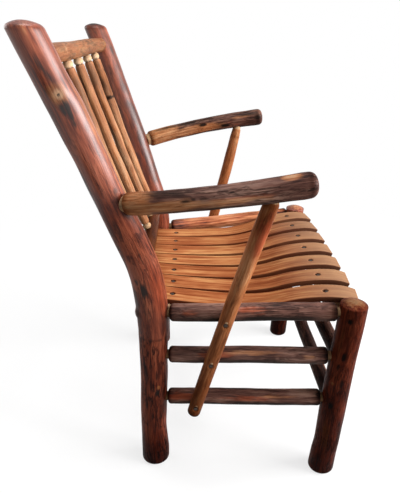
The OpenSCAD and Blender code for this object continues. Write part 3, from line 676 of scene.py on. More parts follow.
    # The varnish is thin where the wood is darker and where the rough bark is left
    varnish = add(tree, "ShaderNodeMapRange", {
        "Value": shade, "From Min": 0.4, "From Max": 1.0, "To Max": coat})
    whole = add(tree, "ShaderNodeMapRange", {
        "Value": bark_and_shade, "From Min": 0.2, "To Min": 1.0, "To Max": 0.15})
    plug(tree, shader, {
        "Base Color": base, "Roughness": gloss, "IOR": 1.5, "Specular IOR Level": 0.02,
        "Normal": add(tree, "ShaderNodeBump", {"Strength": 0.9, "Distance": relief, "Height": height}),
        "Coat Weight": add(tree, "ShaderNodeMath", {0: varnish, 1: whole}, operation="MULTIPLY"),
        "Coat Roughness": 0.38})
    return material


def slat_material(name):
    """Sawn and steam-bent hickory slat under worn satin varnish: straight fine grain, soft sheen."""
    c = colours()
    material, tree, shader = material_tree(name)
    grain_at = add(tree, "ShaderNodeAttribute", attribute_name="grain").outputs["Vector"]
    number, sunk, edge, shade = (
        add(tree, "ShaderNodeAttribute", attribute_name=label).outputs["Fac"]
        for label in ("piece", "sunk", "edge", "shade"))
    shift = add(tree, "ShaderNodeVectorMath", {0: (3.7, 1.9, 2.3), "Scale": number}, operation="SCALE")
    own = add(tree, "ShaderNodeVectorMath", {0: grain_at, 1: shift}, operation="ADD")
    noise = patterns(tree, own, 0, 0, (
        # Growth rings cut along the slat, in bands 4 to 9 mm wide
        ("ring", 120, 0.035, 3, 0.6, 0.6),
        # Open pores, drawn 1.5 mm wide so that they show
        ("pore", 700, 0.03, 2, 0.6, 0.0),
        # Cloudy tone, 80 mm across
        ("cloud", 13, 0.5, 3, 0.55, 0.0),
        # Worn and dirty patches along the grain, 25 mm wide and 150 mm long
        ("worn", 40, 0.16, 4, 0.6, 0.3)))
    level = grain_level(tree, noise, (("ring", 1.9), ("pore", 1.3), ("cloud", 1.4)))
    base = add(tree, "ShaderNodeValToRGB", {"Fac": level}, (
        (0.1, c.slat_dark), (0.9, c.slat_light), (0.5, c.slat_mid)))
    worn = add(tree, "ShaderNodeMapRange", {
        "Value": noise["worn"], "From Min": 0.52, "From Max": 0.66, "To Max": 0.55},
        interpolation_type="SMOOTHSTEP")
    # The last 170 mm before the front edge are greyed more and more: partly weathering, partly a
    # painted sheen where the rolled front catches the light
    greyed = add(tree, "ShaderNodeMapRange", {
        "Value": add(tree, "ShaderNodeSeparateXYZ", {0: grain_at}), "From Min": 0.26,
        "From Max": 0.42, "To Max": 0.72}, interpolation_type="SMOOTHSTEP")
    # Painted shade: the sawn sides in the gaps and the floors of the nail sinkings are darkened
    side = add(tree, "ShaderNodeMath", {0: edge, 1: 0.8}, operation="MULTIPLY")
    for share, paint in ((worn, c.slat_dark), (greyed, c.slat_greyed_and_sheen), (side, c.slat_side_in_shade),
                         (sunk, c.sinking_shade)):
        base = add(tree, "ShaderNodeMix", {"Factor": share, "A": base, "B": paint}, data_type="RGBA")
    height = add(tree, "ShaderNodeMath", {0: noise["pore"], 1: 0.5, 2: noise["ring"]},
                 operation="MULTIPLY_ADD")
    plug(tree, shader, {
        "Base Color": add(tree, "ShaderNodeVectorMath", {0: base, "Scale": shade}, operation="SCALE"),
        "Normal": add(tree, "ShaderNodeBump", {"Strength": 0.6, "Distance": 0.0005, "Height": height}),
        "Roughness": add(tree, "ShaderNodeMapRange", {
            "Value": noise["cloud"], "From Min": 0.35, "From Max": 0.65, "To Min": 0.52,
            "To Max": 0.64}),
        "IOR": 1.5, "Specular IOR Level": 0.01, "Coat Weight": 0.06, "Coat Roughness": 0.45})
    return material


def nail_material(name):
    """Drawn steel wire nail, oxidised brown-black under old varnish, with a dull sheen."""
    c = colours()
    material, tree, shader = material_tree(name)
    where = add(tree, "ShaderNodeTexCoord").outputs["Object"]
    # Rust in grains of about 1 mm
    rust = add(tree, "ShaderNodeTexNoise", {"Vector": where, "Scale": 900.0, "Detail": 3.0})
    plug(tree, shader, {
        "Base Color": add(tree, "ShaderNodeMix", {"Factor": rust, "A": c.nail, "B": c.rust},
                          data_type="RGBA"),
        "Normal": add(tree, "ShaderNodeBump", {"Strength": 0.4, "Distance": 0.0003, "Height": rust}),
        "Metallic": 0.7, "Roughness": 0.42})
    return material


def finishes():
    """The chair's materials by name, made once."""
    c = colours()
    poles = {
        # Inner bark under red-brown stain, rubbed and varnished: deep colour under a wet gloss
        "stained_hickory": dict(
            shades=(c.post_dark, c.post_mid, c.post_light), streak=0.5, mottle=0.8, groove=0.95,
            fleck=0.5, roughness=0.34, coat=1.0, relief=0.0016),
        # Bark left on and varnished: purple-grey brown, furrowed, less shine
        "barked_hickory": dict(
            shades=(c.bark_dark, c.bark_mid, c.bark_light), streak=0.5, mottle=0.75, groove=0.8,
            fleck=0.7, roughness=0.42, coat=0.45, relief=0.0014),
        # Bark peeled off before varnishing: orange-tan, smooth and satin
        "peeled_hickory": dict(
            shades=(c.peeled_dark, c.peeled_mid, c.peeled_light), streak=0.38, mottle=0.35,
            groove=0.3, fleck=0.5, roughness=0.36, coat=0.4, relief=0.0006),
    }
    ready = bpy.data.materials.get
    made = {name: ready(name) or pole_material(name, **look) for name, look in poles.items()}
    for maker, name in ((slat_material, "bent_hickory_slat"), (nail_material, "oxidised_steel_nail")):
        made[name] = ready(name) or maker(name)
    return made


# ---------------------------------------------------------------- pieces


# The rounded sawn end that a post stands on, and where the pole proper begins above it
FOOT, FOOT_START = Cap(7, 0, (0, 0, -1)), 7.3


def post_path(side):
    """Middle line of a rear post: a straight leg, the steam bend and the raked back."""
    s = sizes()
    foot, knee, crown = (point(p, side) for p in (s.rear_foot, s.rear_knee, s.rear_crown))
    down, back = unit(foot - knee), unit(crown - knee)
    half = math.acos(-(down @ back)) / 2
    run = s.bend_radius / MM * math.tan(half)
    first, second = knee + run * down, knee + run * back
    inward = unit(knee - (first + second) / 2)
    bend = bowed(first, second, inward * (s.bend_radius / MM * (1 - math.cos(half))), 40)
    return np.concatenate([straight(foot, first, 60)[:-1], bend, straight(second, crown, 60)[1:]])


class ARMCHAIR_OT_rear_posts(bpy.types.Operator):
    """Build the two bent rear posts"""

    bl_idname = "armchair.rear_posts"
    bl_label = "Rear Posts"
    bl_options = {"REGISTER", "UNDO"}

    SHAPE = {
        "right": ((0, 3.4, 0, 1.1), (20, 3.2, 0, 1.1), (62, 0.8, 0, 1.045), (107, -1.2, 0, 1.01),
                  (150, -1.4, 0, 1.03), (232, -0.7, 0, 1.035), (308, -2.3, 0, 1.07),
                  (345, -1.8, 0, 1.14), (368, -3.1, 0, 1.14), (421, -4.9, 0, 1.16),
                  (474, -3.5, 0, 1.14), (526, -1.8, 0, 1.13), (571, -1.2, 0, 1.1), (613, -1.6, 0, 1.05),
                  (655, -1.5, 0, 1.02), (728, 0.7, 0, 1.03), (764, 1, 0, 1.06), (800, 1.4, 0, 1.07),
                  (830, 0.3, 0, 1.04), (860, -0.5, 0, 1.01), (930, -0.8, 0, 1.0)),
        "left": ((0, -8, 0, 1), (250, -12, 0, 0.96), (330, -13, 0, 0.95), (420, -12, 0, 0.95),
                 (519, -11.5, 0, 0.95), (547, -10, 0, 0.96), (602, -7, 0, 0.98), (682, -4, 0, 1),
                 (735, -3.5, 0, 1), (786, -2.2, 0, 1), (836, -1.2, 0, 1), (890, -0.5, 0, 1),
                 (930, -1.5, 0, 1)),
    }
    # Darker towards the foot: partly the wood's own colour and partly painted shade
    SHADE = {
        "right": ((0, 0.2), (40, 0.25), (110, 0.6), (215, 0.76), (330, 0.84), (480, 0.92),
                  (560, 0.72), (620, 0.82), (700, 1.0), (915, 0.98), (928, 0.82), (940, 0.7)),
        "left": ((0, 0.3), (330, 0.6), (600, 0.9), (915, 0.95), (928, 0.6), (940, 0.5)),
    }
    ROUGH = {
        "right": ((0, 1), (330, 1), (350, 0.8), (450, 0.8), (600, 0.75), (700, 0.3), (930, 0.2)),
        "left": ((0, 1), (300, 0.8), (500, 0.4), (600, 0.2), (930, 0.2)),
    }
    MARKS = {
        "right": [
            # A pale knot with a dark heart, and the burn below it
            (TAN, 830, -73, 18, 15, 1), (BARE_AND_GLINT, 830, -73, 12, 11, 0.54),
            (DARK, 829, -73, 3.0, 2.8, 1), (DARK, 808, -75, 14, 10, 1),
            (DARK, 796, -71, 10, 6, 0.95), (DARK, 784, -70, 9, 3.5, 0.8),
            # The rim, and the pale wood under it
            (DARK, 942, None, 7, 1, 0.6), (TAN, 924, -70, 12, 24, 0.35),
            # Scratches, bruises and stains, from the top down
            (DARK, 876, -88, 16, 2.4, 0.7), (DARK, 867, -78, 20, 2.4, 0.8),
            (DARK, 856, -68, 13, 2.4, 0.8), (DARK, 757, -122, 15, 6, 0.5),
            (DARK, 735, -128, 12, 6, 0.45), (DARK, 690, -140, 30, 5, 0.6),
            (DARK, 658, -40, 8, 5, 0.6), (DARK, 638, -48, 18, 7, 0.5), (DARK, 612, -44, 14, 6, 0.6),
            (RED, 640, -100, 50, 14, 0.5), (DARK, 600, -100, 26, 5, 0.6),
            (DARK, 560, -140, 60, 7, 0.6), (DARK, 540, -70, 30, 3, 0.5),
            (RED, 450, -52, 60, 15, 0.85), (DARK, 474, -126, 12, 6, 0.8),
            (DARK, 456, -104, 18, 8, 0.95), (DARK, 420, -150, 50, 7, 0.6),
            (DARK, 338, -90, 3, 90, 0.55), (DARK, 252, -76, 15, 3, 0.7), (TAN, 222, -67, 6, 4, 0.9),
            (DARK, 207, -72, 11, 5, 0.9), (DARK, 150, -95, 30, 4, 0.6),
            # Bark left on the camera's far flank, which on the rear flank also darkens it as painted
            # shade, and a pale flank towards the seat that is a painted lit flank
            (BARK_AND_SHADE, 850, -95, 30, 8, 0.8), (BARK_AND_SHADE, 740, -165, 190, 24, 0.8),
            (BARK_AND_SHADE, 700, -95, 60, 7, 0.8), (BARK_AND_SHADE, 500, -170, 120, 24, 0.9),
            (TAN, 780, -8, 110, 9, 0.55),
            # The side that the photograph doesn't show
            (DARK, 870, 120, 20, 8, 0.8), (DARK, 520, 150, 30, 6, 0.7), (TAN, 690, 140, 10, 7, 0.9),
        ],
        "left": [
            (DARK, 936, None, 8, 1, 0.8), (DARK, 720, None, 330, 1, 0.5),
            (DARK, 860, -40, 20, 5, 0.8), (DARK, 770, -60, 40, 5, 0.6), (DARK, 640, -70, 30, 5, 0.6),
            (RED, 590, -86, 60, 12, 0.6), (DARK, 700, 80, 24, 9, 0.8), (TAN, 560, 95, 10, 7, 0.9),
            # The bark mark on the rear flank also darkens it as painted shade
            (DARK, 420, 110, 30, 6, 0.8), (BARK_AND_SHADE, 760, -150, 160, 20, 0.8),
        ],
    }
    KNOTS = {
        "right": [(830, -73, 15, 2.6), (391, -160, 9, 4.5), (222, -68, 10, 2.5), (690, 140, 13, 3)],
        "left": [(560, 95, 12, 3), (300, -60, 12, 2.5)],
    }

    def execute(self, context):
        s, finish = sizes(), finishes()
        for k, (name, side) in enumerate(SIDES.items()):
            path = post_path(side)
            total = measured(path)[-1]
            foot, knee, top = (d / MM / 2 for d in (s.rear_foot_d, s.knee_d, s.rear_top_d))
            # The caps add the rounding at the foot and the dome at the top
            profile = [(FOOT_START, foot * 0.995), (430, knee), (total - 14, top)]
            made = pole_mesh(
                path, profile, 11 + k, sides=72, step=3.5, lump=0.014, wander=0.0, start=FOOT,
                end=Cap(9, 5.8, (0, 0, 1)), shape=self.SHAPE[name], shade=self.SHADE[name],
                rough=self.ROUGH[name], marks=self.MARKS[name], knots=self.KNOTS[name])
            post = mesh_object(f"hickory_rear_post_{name}", *made, finish["stained_hickory"])
            stand_in(post, "stained_post", f"rear_post_{name}")
        return {"FINISHED"}


class ARMCHAIR_OT_front_posts(bpy.types.Operator):
    """Build the two short front posts with domed tops"""

    bl_idname = "armchair.front_posts"
    bl_label = "Front Posts"
    bl_options = {"REGISTER", "UNDO"}

    SHAPE = {
        "right": ((0, -0.5, 0, 1.12), (45, 0, 0, 1.09), (86, 2, 0, 1.05), (140, 1.6, 0, 1.06),
                  (170, 1.4, 0, 1.08), (227, 1.5, 0, 1.05), (304, 2, 0, 1.04), (340, 3, 0, 1.04),
                  (376, 3.8, 0, 1.05), (426, 4, 0, 1.03)),
        "left": ((0, -8, 0, 1.02), (200, -5, 0, 1), (426, 0, 0, 1)),
    }
    # Darker towards the foot: partly the wood's own colour and partly painted shade
    SHADE = {"right": ((0, 0.22), (80, 0.32), (250, 0.42), (400, 0.36), (424, 0.38), (431, 0.45)),
             "left": ((0, 0.15), (300, 0.5), (426, 0.95))}
    MARKS = {
        "right": [
            # The pale dome
            (TAN, 438, None, 9, 1, 0.95), (BARE_AND_GLINT, 438, None, 9, 1, 0.58), (DARK, 440, None, 9, 1, 0.25),
            # Bruises and rubbed patches, from the top down
            (DARK, 402, -116, 8, 5, 0.9), (TAN, 350, -135, 60, 12, 0.4), (DARK, 322, -110, 14, 5, 0.8),
            (DARK, 298, -122, 11, 5, 0.7), (DARK, 258, -96, 12, 4, 0.7), (TAN, 255, -132, 5, 4, 0.8),
            (DARK, 198, -122, 9, 5, 0.9), (TAN, 120, -122, 70, 12, 0.45),
            (DARK, 30, -150, 20, 9, 0.6), (DARK, 260, 60, 20, 9, 0.8), (TAN, 150, 20, 9, 6, 0.9),
        ],
        "left": [(TAN, 438, None, 9, 1, 0.95), (DARK, 300, 100, 20, 7, 0.8), (DARK, 210, 0, 16, 6, 0.7)],
    }
    KNOTS = {
        "right": [(255, -132, 10, 3.0), (150, 20, 12, 3)],
        "left": [(330, 60, 12, 3), (120, -10, 11, 2.5)],
    }

    def execute(self, context):
        s, finish = sizes(), finishes()
        for k, (name, side) in enumerate(SIDES.items()):
            path = straight(point(s.front_foot, side), point(s.front_rim, side))
            total = measured(path)[-1]
            r = s.front_post_d / MM / 2
            profile = [(FOOT_START, r * 0.99), (total / 2, r), (total - 1, r * 0.995)]
            made = pole_mesh(
                path, profile, 21 + k, sides=72, step=3.5, lump=0.014, wander=0.0, start=FOOT,
                end=Cap(2, s.dome_height / MM - 2.5), shape=self.SHAPE[name],
                shade=self.SHADE[name], rough=((0, 0.8), (426, 0.5)), marks=self.MARKS[name],
                knots=self.KNOTS[name])
            post = mesh_object(f"hickory_front_post_{name}", *made, finish["stained_hickory"])
            stand_in(post, "stained_post", f"front_post_{name}")
        return {"FINISHED"}


def arm_path(side):
    """Middle line of an arm, from inside the rear post to the arm's front end."""
    x, y, z = ARM_END
    out, forward, up = ARM_BOW
    return bowed(rear_axis(ARM_Z, side), np.array([side * x, y - MIDDLE, z]),
                 np.array([side * out, forward, up]))


class ARMCHAIR_OT_arms(bpy.types.Operator):
    """Build the two bowed arms"""

    bl_idname = "armchair.arms"
    bl_label = "Arms"
    bl_options = {"REGISTER", "UNDO"}

    SHAPE = {"right": ((0, 0, 0, 1), (60, -1.2, 0.8, 1), (200, -1.5, -0.9, 1), (340, -1.3, -0.9, 1)),
             "left": ((0, 0, 0, 1), (60, 0.9, -0.8, 1), (200, 0.9, 0.5, 1), (340, -0.3, 0.5, 1))}
    SHADE = {"right": ((0, 0.7), (30, 0.75), (45, 1.0), (60, 1.1), (200, 1.32), (280, 1.2),
                       (340, 1.0)),
             "left": ((0, 0.6), (30, 0.62), (45, 0.74), (200, 0.86), (340, 1.02))}
    MARKS = {
        "right": [
            # Amber wood where the bark has gone, at the shoulder, along the flank and underneath
            (TAN, 46, 85, 42, 42, 1), (TAN, 115, 100, 60, 13, 0.85), (TAN, 195, 108, 75, 10, 0.6),
            (TAN, 120, -90, 60, 14, 0.8), (TAN, 349, None, 5, 1, 0.6),
            # A pale patch on top of the front end
            (TAN, 303, 14, 17, 9, 1), (BARE_AND_GLINT, 303, 12, 18, 7, 0.5),
            (RED, 215, 92, 65, 10, 0.4), (RED, 260, -80, 50, 12, 0.8),
            (DARK, 104, 34, 46, 9, 0.6), (DARK, 140, 78, 9, 3, 0.9), (DARK, 153, 73, 6, 3, 0.8),
            # The long dark mark at 150 degrees is painted shade along the underside
            (DARK, 168, 72, 10, 3, 0.7), (DARK, 200, 150, 140, 12, 0.85),
            (DARK, 212, 55, 4, 3, 0.8), (DARK, 250, 20, 40, 4, 0.4), (DARK, 316, 100, 24, 13, 0.3),
        ],
        "left": [
            (TAN, 60, 80, 60, 45, 1), (TAN, 150, 100, 90, 17, 0.9), (TAN, 285, 60, 34, 8, 0.5),
            (TAN, 200, -90, 60, 14, 0.8), (BARE_AND_GLINT, 100, 90, 110, 24, 0.42), (RED, 262, 100, 36, 12, 0.45),
            (DARK, 110, 22, 70, 8, 0.7), (DARK, 178, 72, 12, 5, 1), (DARK, 240, 108, 16, 5, 1),
            (DARK, 300, 40, 40, 9, 0.8), (DARK, 332, 86, 13, 12, 0.7),
        ],
    }
    KNOTS = {"right": [(212, 55, 8, -0.8), (250, -90, 11, 2.5)],
             "left": [(178, 72, 12, 2.2), (240, 108, 12, 2)]}

    def execute(self, context):
        s, finish = sizes(), finishes()
        r, root = s.arm_d / MM / 2, s.knee_d / MM / 2
        for k, (name, side) in enumerate(SIDES.items()):
            path = arm_path(side)
            total = measured(path)[-1]
            # A thick tenon, a whittled shoulder, and a pole that thickens towards its front end
            profile = [(root - 8, 14.5), (root + 0.5, 14.5)]
            profile += rounded_shoulder(root + 1, 7, 15.5, r * 0.97)
            profile += [(110, r * 0.93), (205, r * 0.94), (285, r), (total - 25, r * 1.04),
                        (total - 14, r * 1.02)]
            made = pole_mesh(
                path, profile, 31 + k, sides=60, step=3.0, face=(0, 0, 1), lump=0.022, wander=0.0,
                end=Cap(12, 1.5), shape=self.SHAPE[name], shade=self.SHADE[name],
                marks=self.MARKS[name], knots=self.KNOTS[name])
            arm = mesh_object(f"hickory_arm_{name}", *made, finish["barked_hickory"])
            stand_in(arm, "bark_pole", f"arm_{name}")
        return {"FINISHED"}


def side_pole(kind, side):
    """Middle line of a side pole by its name."""
    rear, front = SIDE_POLES[kind]
    return straight(rear_axis(rear, side), front_axis(front, side))


def side_pole_d(kind):
    s = sizes()
    return {"side_seat_rail": s.side_rail_d, "upper_side_stretcher": s.upper_stretcher_d,
            "lower_side_stretcher": s.lower_stretcher_d}[kind] / MM


def outward_of(path, side):
    """Level direction that points away from the chair, square to a side pole."""
    return side * unit(np.cross([0, 0, 1], path[-1] - path[0]))


def beside(kind, along, side):
    """Middle of an arm support where it crosses a side pole, let 1 mm into it."""
    path = side_pole(kind, side)
    apart = side_pole_d(kind) / 2 + sizes().support_d / MM / 2 - 1
    return at(path, along) + apart * outward_of(path, side)


class ARMCHAIR_OT_side_poles(bpy.types.Operator):
    """Build the side seat rails and side stretchers"""

    bl_idname = "armchair.side_poles"
    bl_label = "Side Rails and Stretchers"
    bl_options = {"REGISTER", "UNDO"}

    # Painted shade: a dark streak along the underside of each pole on the right
    UNDERSIDE_SHADE = (DARK, 185, 118, 190, 11, 0.9)
    MARKS = {
        ("side_seat_rail", "right"): [
            (RED, 185, 50, 40, 9, 0.6), (RED, 75, 60, 22, 8, 0.5), (DARK, 235, 20, 14, 8, 0.6), UNDERSIDE_SHADE],
        ("upper_side_stretcher", "right"): [
            (TAN, 215, 45, 70, 8, 0.55), (RED, 120, 60, 50, 9, 0.6), (TAN, 310, 60, 16, 10, 0.4),
            UNDERSIDE_SHADE],
        ("lower_side_stretcher", "right"): [
            (RED, 62, 52, 50, 10, 0.8), (RED, 200, 60, 60, 9, 0.6), (TAN, 260, 45, 50, 6, 0.6),
            UNDERSIDE_SHADE],
        # This rail has hardly any bark left
        ("side_seat_rail", "left"): [
            (RED, 190, None, 200, 1, 0.85), (TAN, 190, None, 200, 1, 0.55),
            (TAN, 250, -10, 90, 9, 0.9)],
        ("upper_side_stretcher", "left"): [(RED, 100, -60, 60, 9, 0.7), (TAN, 230, 60, 40, 8, 0.6)],
        ("lower_side_stretcher", "left"): [(RED, 220, -60, 60, 9, 0.7), (TAN, 80, 60, 40, 8, 0.6)],
    }
    SHADE = {"side_seat_rail": 1.3, "upper_side_stretcher": 1.42, "lower_side_stretcher": 1.2}

    def execute(self, context):
        s, finish = sizes(), finishes()
        for k, kind in enumerate(SIDE_POLES):
            for j, (name, side) in enumerate(SIDES.items()):
                # The left rear post has grown a little to the rear of its line
                roots = (s.knee_d / MM / 2 - (12 if name == "left" else 0),
                         s.front_post_d / MM / 2 - (3 if kind == "side_seat_rail" else 0))
                path = side_pole(kind, side)
                profile = tenoned(path, side_pole_d(kind) / 2, s.tenon_d / MM / 2, roots)
                made = pole_mesh(
                    path, profile, 41 + 2 * k + j, sides=44, step=3.5, face=(0, 0, 1), lump=0.045,
                    wander=1.5, marks=self.MARKS[kind, name],
                    shade=stained_ends(path, self.SHADE[kind], roots[0]))
                pole = mesh_object(f"hickory_{kind}_{name}", *made, finish["barked_hickory"])
                stand_in(pole, "bark_pole", f"{kind}_{name}")
        return {"FINISHED"}


class ARMCHAIR_OT_cross_poles(bpy.types.Operator):
    """Build the front stretchers and the rear stretcher"""

    bl_idname = "armchair.cross_poles"
    bl_label = "Front and Rear Stretchers"
    bl_options = {"REGISTER", "UNDO"}

    # Post line, height, distance behind that line, brightness and marks
    POLES = {
        "upper_front_stretcher": (front_axis, 285, -4, 0.6, [
            (RED, 160, 90, 60, 9, 0.8), (TAN, 330, 60, 50, 8, 0.7)]),
        "lower_front_stretcher": (front_axis, 172, -4, 0.6, [
            (TAN, 140, 60, 60, 8, 0.7), (RED, 340, 100, 60, 9, 0.8)]),
        "rear_stretcher": (rear_axis, 231, 0, 0.95, [
            (RED, 250, -90, 80, 9, 0.8), (TAN, 120, 40, 40, 8, 0.7)]),
    }

    def execute(self, context):
        s, finish = sizes(), finishes()
        for k, (kind, (axis, z, back, bright, marks)) in enumerate(self.POLES.items()):
            path = straight(axis(z, -1, back), axis(z, 1, back))
            rear = kind == "rear_stretcher"
            root = (s.rear_foot_d if rear else s.front_post_d) / MM / 2
            # The left rear post is thinner than its foot here
            roots = (root, root - (4 if rear else 0))
            profile = tenoned(path, s.cross_stretcher_d / MM / 2, s.tenon_d / MM / 2, roots)
            made = pole_mesh(
                path, profile, 51 + k, sides=44, step=3.5, face=(0, 0, 1), lump=0.02, wander=0.8,
                shade=stained_ends(path, bright), marks=marks)
            pole = mesh_object(f"hickory_{kind}", *made, finish["barked_hickory"])
            stand_in(pole, "bark_pole", kind)
        return {"FINISHED"}


class ARMCHAIR_OT_seat_bearers(bpy.types.Operator):
    """Build the two flat-topped bearers under the slats"""

    bl_idname = "armchair.seat_bearers"
    bl_label = "Seat Bearers"
    bl_options = {"REGISTER", "UNDO"}

    def execute(self, context):
        s, finish = sizes(), finishes()
        r = s.bearer_d / MM / 2
        lie = np.array([slat_curve(along)[:2] for along in np.linspace(0, SLAT_LENGTH, 120)])
        for k, kind in enumerate(("rear_seat_bearer", "front_seat_bearer")):
            low, high = (np.array(c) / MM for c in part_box(kind))
            middle = np.array([0, (low[1] + high[1]) / 2, low[2] + r])
            # The bearer proper ends 28 mm before its tenons do
            half = high[0] - 28
            path = straight(middle - [half, 0, 0], middle + [half, 0, 0])
            profile = rounded_shoulder(0, 6, r * 0.55, r)
            profile += [(2 * half - a, b) for a, b in reversed(profile)]
            vertices, faces, attributes = pole_mesh(
                path, profile, 61 + k, sides=64, step=4, face=(0, 0, 1), lump=0.012, wander=0.0)
            # The top is planed to the underside of the slats that lie on it
            forward = SLAT_REAR - MIDDLE - vertices[:, 1]
            slats = np.interp(forward, lie[:, 0], lie[:, 1])
            vertices[:, 2] = np.minimum(vertices[:, 2], slats - s.slat_t / MM - 0.2)
            bearer = mesh_object(
                f"hickory_{kind}", vertices, faces, attributes, finish["barked_hickory"])
            join(bearer, self.tenons(kind, low, high))
            stand_in(bearer, "bark_pole", kind)
        return {"FINISHED"}

    def tenons(self, kind, low, high):
        """Both tenons, as one thin pole that runs through the bearer a little below its middle."""
        y = (low[1] + high[1]) / 2 + (6 if kind == "rear_seat_bearer" else -6)
        z = low[2] + sizes().bearer_d / MM / 2 - 10
        path = straight(np.array([low[0] + 12, y, z]), np.array([high[0] - 12, y, z]))
        total = measured(path)[-1]
        made = pole_mesh(
            path, [(0, 8), (total, 8)], 65, sides=24, step=20, face=(0, 0, 1), lump=0, wander=0,
            marks=[(BARE_AND_GLINT, total / 2, None, total, 1, 1)])
        return mesh_object("tenon", *made, finishes()["barked_hickory"])


def join(kept, other):
    """Joins the second mesh into the first."""
    both = [kept, other]
    with bpy.context.temp_override(
            active_object=kept, object=kept, selected_objects=both, selected_editable_objects=both):
        bpy.ops.object.join()


class ARMCHAIR_OT_back_rails(bpy.types.Operator):
    """Build the crest rail and the lower back rail"""

    bl_idname = "armchair.back_rails"
    bl_label = "Back Rails"
    bl_options = {"REGISTER", "UNDO"}

    MARKS = {
        "crest_rail": [
            (BARE_AND_GLINT, 106, -20, 8, 12, 0.55), (BARE_AND_GLINT, 260, None, 600, 1, 0.42),
            (DARK, 300, -62, 150, 7, 0.5), (DARK, 170, 60, 60, 5, 0.5), (DARK, 260, None, 260, 1, 0.36),
            (RED, 420, -20, 60, 9, 0.5), (DARK, 240, 170, 60, 6, 0.5),
        ],
        "lower_back_rail": [
            (DARK, 60, -30, 26, 8, 0.6), (DARK, 330, 60, 60, 6, 0.5), (RED, 260, -60, 60, 8, 0.5)],
    }
    SHADE = {"crest_rail": ((0, 0.68), (106, 0.73), (300, 0.68), (460, 0.62), (560, 0.52)),
             "lower_back_rail": ((0, 0.2), (200, 0.25), (470, 0.5))}

    def execute(self, context):
        s, finish = sizes(), finishes()
        # Height, distance behind the posts' line, diameter, and the posts' diameter there
        rails = {"crest_rail": (CREST_Z, 0, s.crest_d, s.rear_top_d),
                 "lower_back_rail": (LOW_RAIL_Z, LOW_RAIL_BACK, s.low_rail_d, s.knee_d)}
        for k, (kind, (z, back, d, post_d)) in enumerate(rails.items()):
            path = straight(rear_axis(z, -1, back), rear_axis(z, 1, back))
            root = post_d / MM / 2
            profile = tenoned(path, d / MM / 2, s.tenon_d / MM / 2, (root, root), 4, 8)
            made = pole_mesh(
                path, profile, 71 + k, sides=44, step=3.5, lump=0.022, wander=0.8,
                shade=self.SHADE[kind], marks=self.MARKS[kind])
            rail = mesh_object(f"hickory_{kind}", *made, finish["peeled_hickory"])
            stand_in(rail, "peeled_pole", kind)
        return {"FINISHED"}


def support_path(side):
    """Middle line of an arm support, from its lower end to the middle of the arm."""
    low = beside("lower_side_stretcher", SUPPORT_ON_STRETCHER, side)
    middle = beside("side_seat_rail", SUPPORT_ON_RAIL, side)
    return through(low, middle, at(arm_path(side), SUPPORT_ON_ARM), SUPPORT_TAIL)


def nail_places(side):
    """Point of a support's middle line, distance along it and outward direction of each nail."""
    path = support_path(side)
    for kind in SIDE_POLES:
        pole = side_pole(kind, side)
        gap = np.linalg.norm(path[:, None] - pole[None], axis=2)
        i = np.unravel_index(gap.argmin(), gap.shape)[0]
        yield path[i], measured(path)[i], outward_of(pole, side)


class ARMCHAIR_OT_arm_supports(bpy.types.Operator):
    """Build the two raking arm supports"""

    bl_idname = "armchair.arm_supports"
    bl_label = "Arm Supports"
    bl_options = {"REGISTER", "UNDO"}

    MARKS = {
        "right": [
            (DARK, 340, -110, 60, 3, 0.5), (DARK, 60, -80, 40, 4, 0.5), (DARK, 180, -60, 50, 3, 0.5),
            (RED, 440, -80, 60, 17, 0.75), (DARK, 0, None, 8, 1, 0.7),
        ],
        "left": [(RED, 380, 80, 60, 8, 0.7), (DARK, 430, 90, 40, 5, 0.6), (DARK, 0, None, 8, 1, 0.7)],
    }
    SHADE = {"right": ((0, 0.42), (50, 0.52), (130, 0.84), (200, 0.92), (330, 1.0), (420, 0.9),
                       (470, 0.74), (520, 0.58)),
             "left": ((0, 0.5), (130, 0.75), (300, 0.86), (470, 0.78), (520, 0.72))}
    # Radius just under the arm, as a share of the pole's own
    HEAD = {"right": 0.95, "left": 0.8}

    def execute(self, context):
        s, finish = sizes(), finishes()
        r = s.support_d / MM / 2
        for k, (name, side) in enumerate(SIDES.items()):
            path = support_path(side)
            sinkings, sinking_shade_and_glint = [], []
            for _, along, outward in nail_places(side):
                _, _, e1, e2 = frames(path, np.array([along]), (0, -1, 0))
                degrees = math.degrees(math.atan2(outward @ e2[0], outward @ e1[0]))
                sinkings.append((along, degrees, 5.6, -3.2))
                # Painted shade inside each sinking and a painted highlight just above it
                sinking_shade_and_glint += [(DARK, along, degrees, 6, 5, 0.85), (BARE_AND_GLINT, along + 8, degrees, 3, 3, 0.8)]
            # The pole, its shoulder under the arm and the tenon that enters the arm
            under, head = measured(path)[-1] - s.arm_d / MM / 2, self.HEAD[name]
            profile = [
                (7, r * 0.96), (60, r), (under - 90, r), (under - 26, r * (1 + head) / 2),
                (under - 7, r * head), (under - 2, r * head * 0.86), (under + 3, 9),
                (under + 10, 8.5)]
            made = pole_mesh(
                path, profile, 81 + k, sides=72, step=1.6, lump=0.02, wander=0.3, start=Cap(9, 0),
                shade=self.SHADE[name], knots=sinkings, marks=self.MARKS[name] + sinking_shade_and_glint)
            support = mesh_object(f"hickory_arm_support_{name}", *made, finish["peeled_hickory"])
            stand_in(support, "peeled_pole", f"arm_support_{name}")
        return {"FINISHED"}


# ---------------------------------------------------------------- pieces that repeat


def node_group(name, inputs):
    """Empty geometry node group with named inputs, and its input and output nodes."""
    group = bpy.data.node_groups.new(name, "GeometryNodeTree")
    group.interface.new_socket("Geometry", in_out="INPUT", socket_type="NodeSocketGeometry")
    for label, (kind, default) in inputs.items():
        socket = group.interface.new_socket(label, in_out="INPUT", socket_type=kind)
        if default is not None:
            socket.default_value = default
    group.interface.new_socket("Geometry", in_out="OUTPUT", socket_type="NodeSocketGeometry")
    return group, add(group, "NodeGroupInput"), add(group, "NodeGroupOutput")


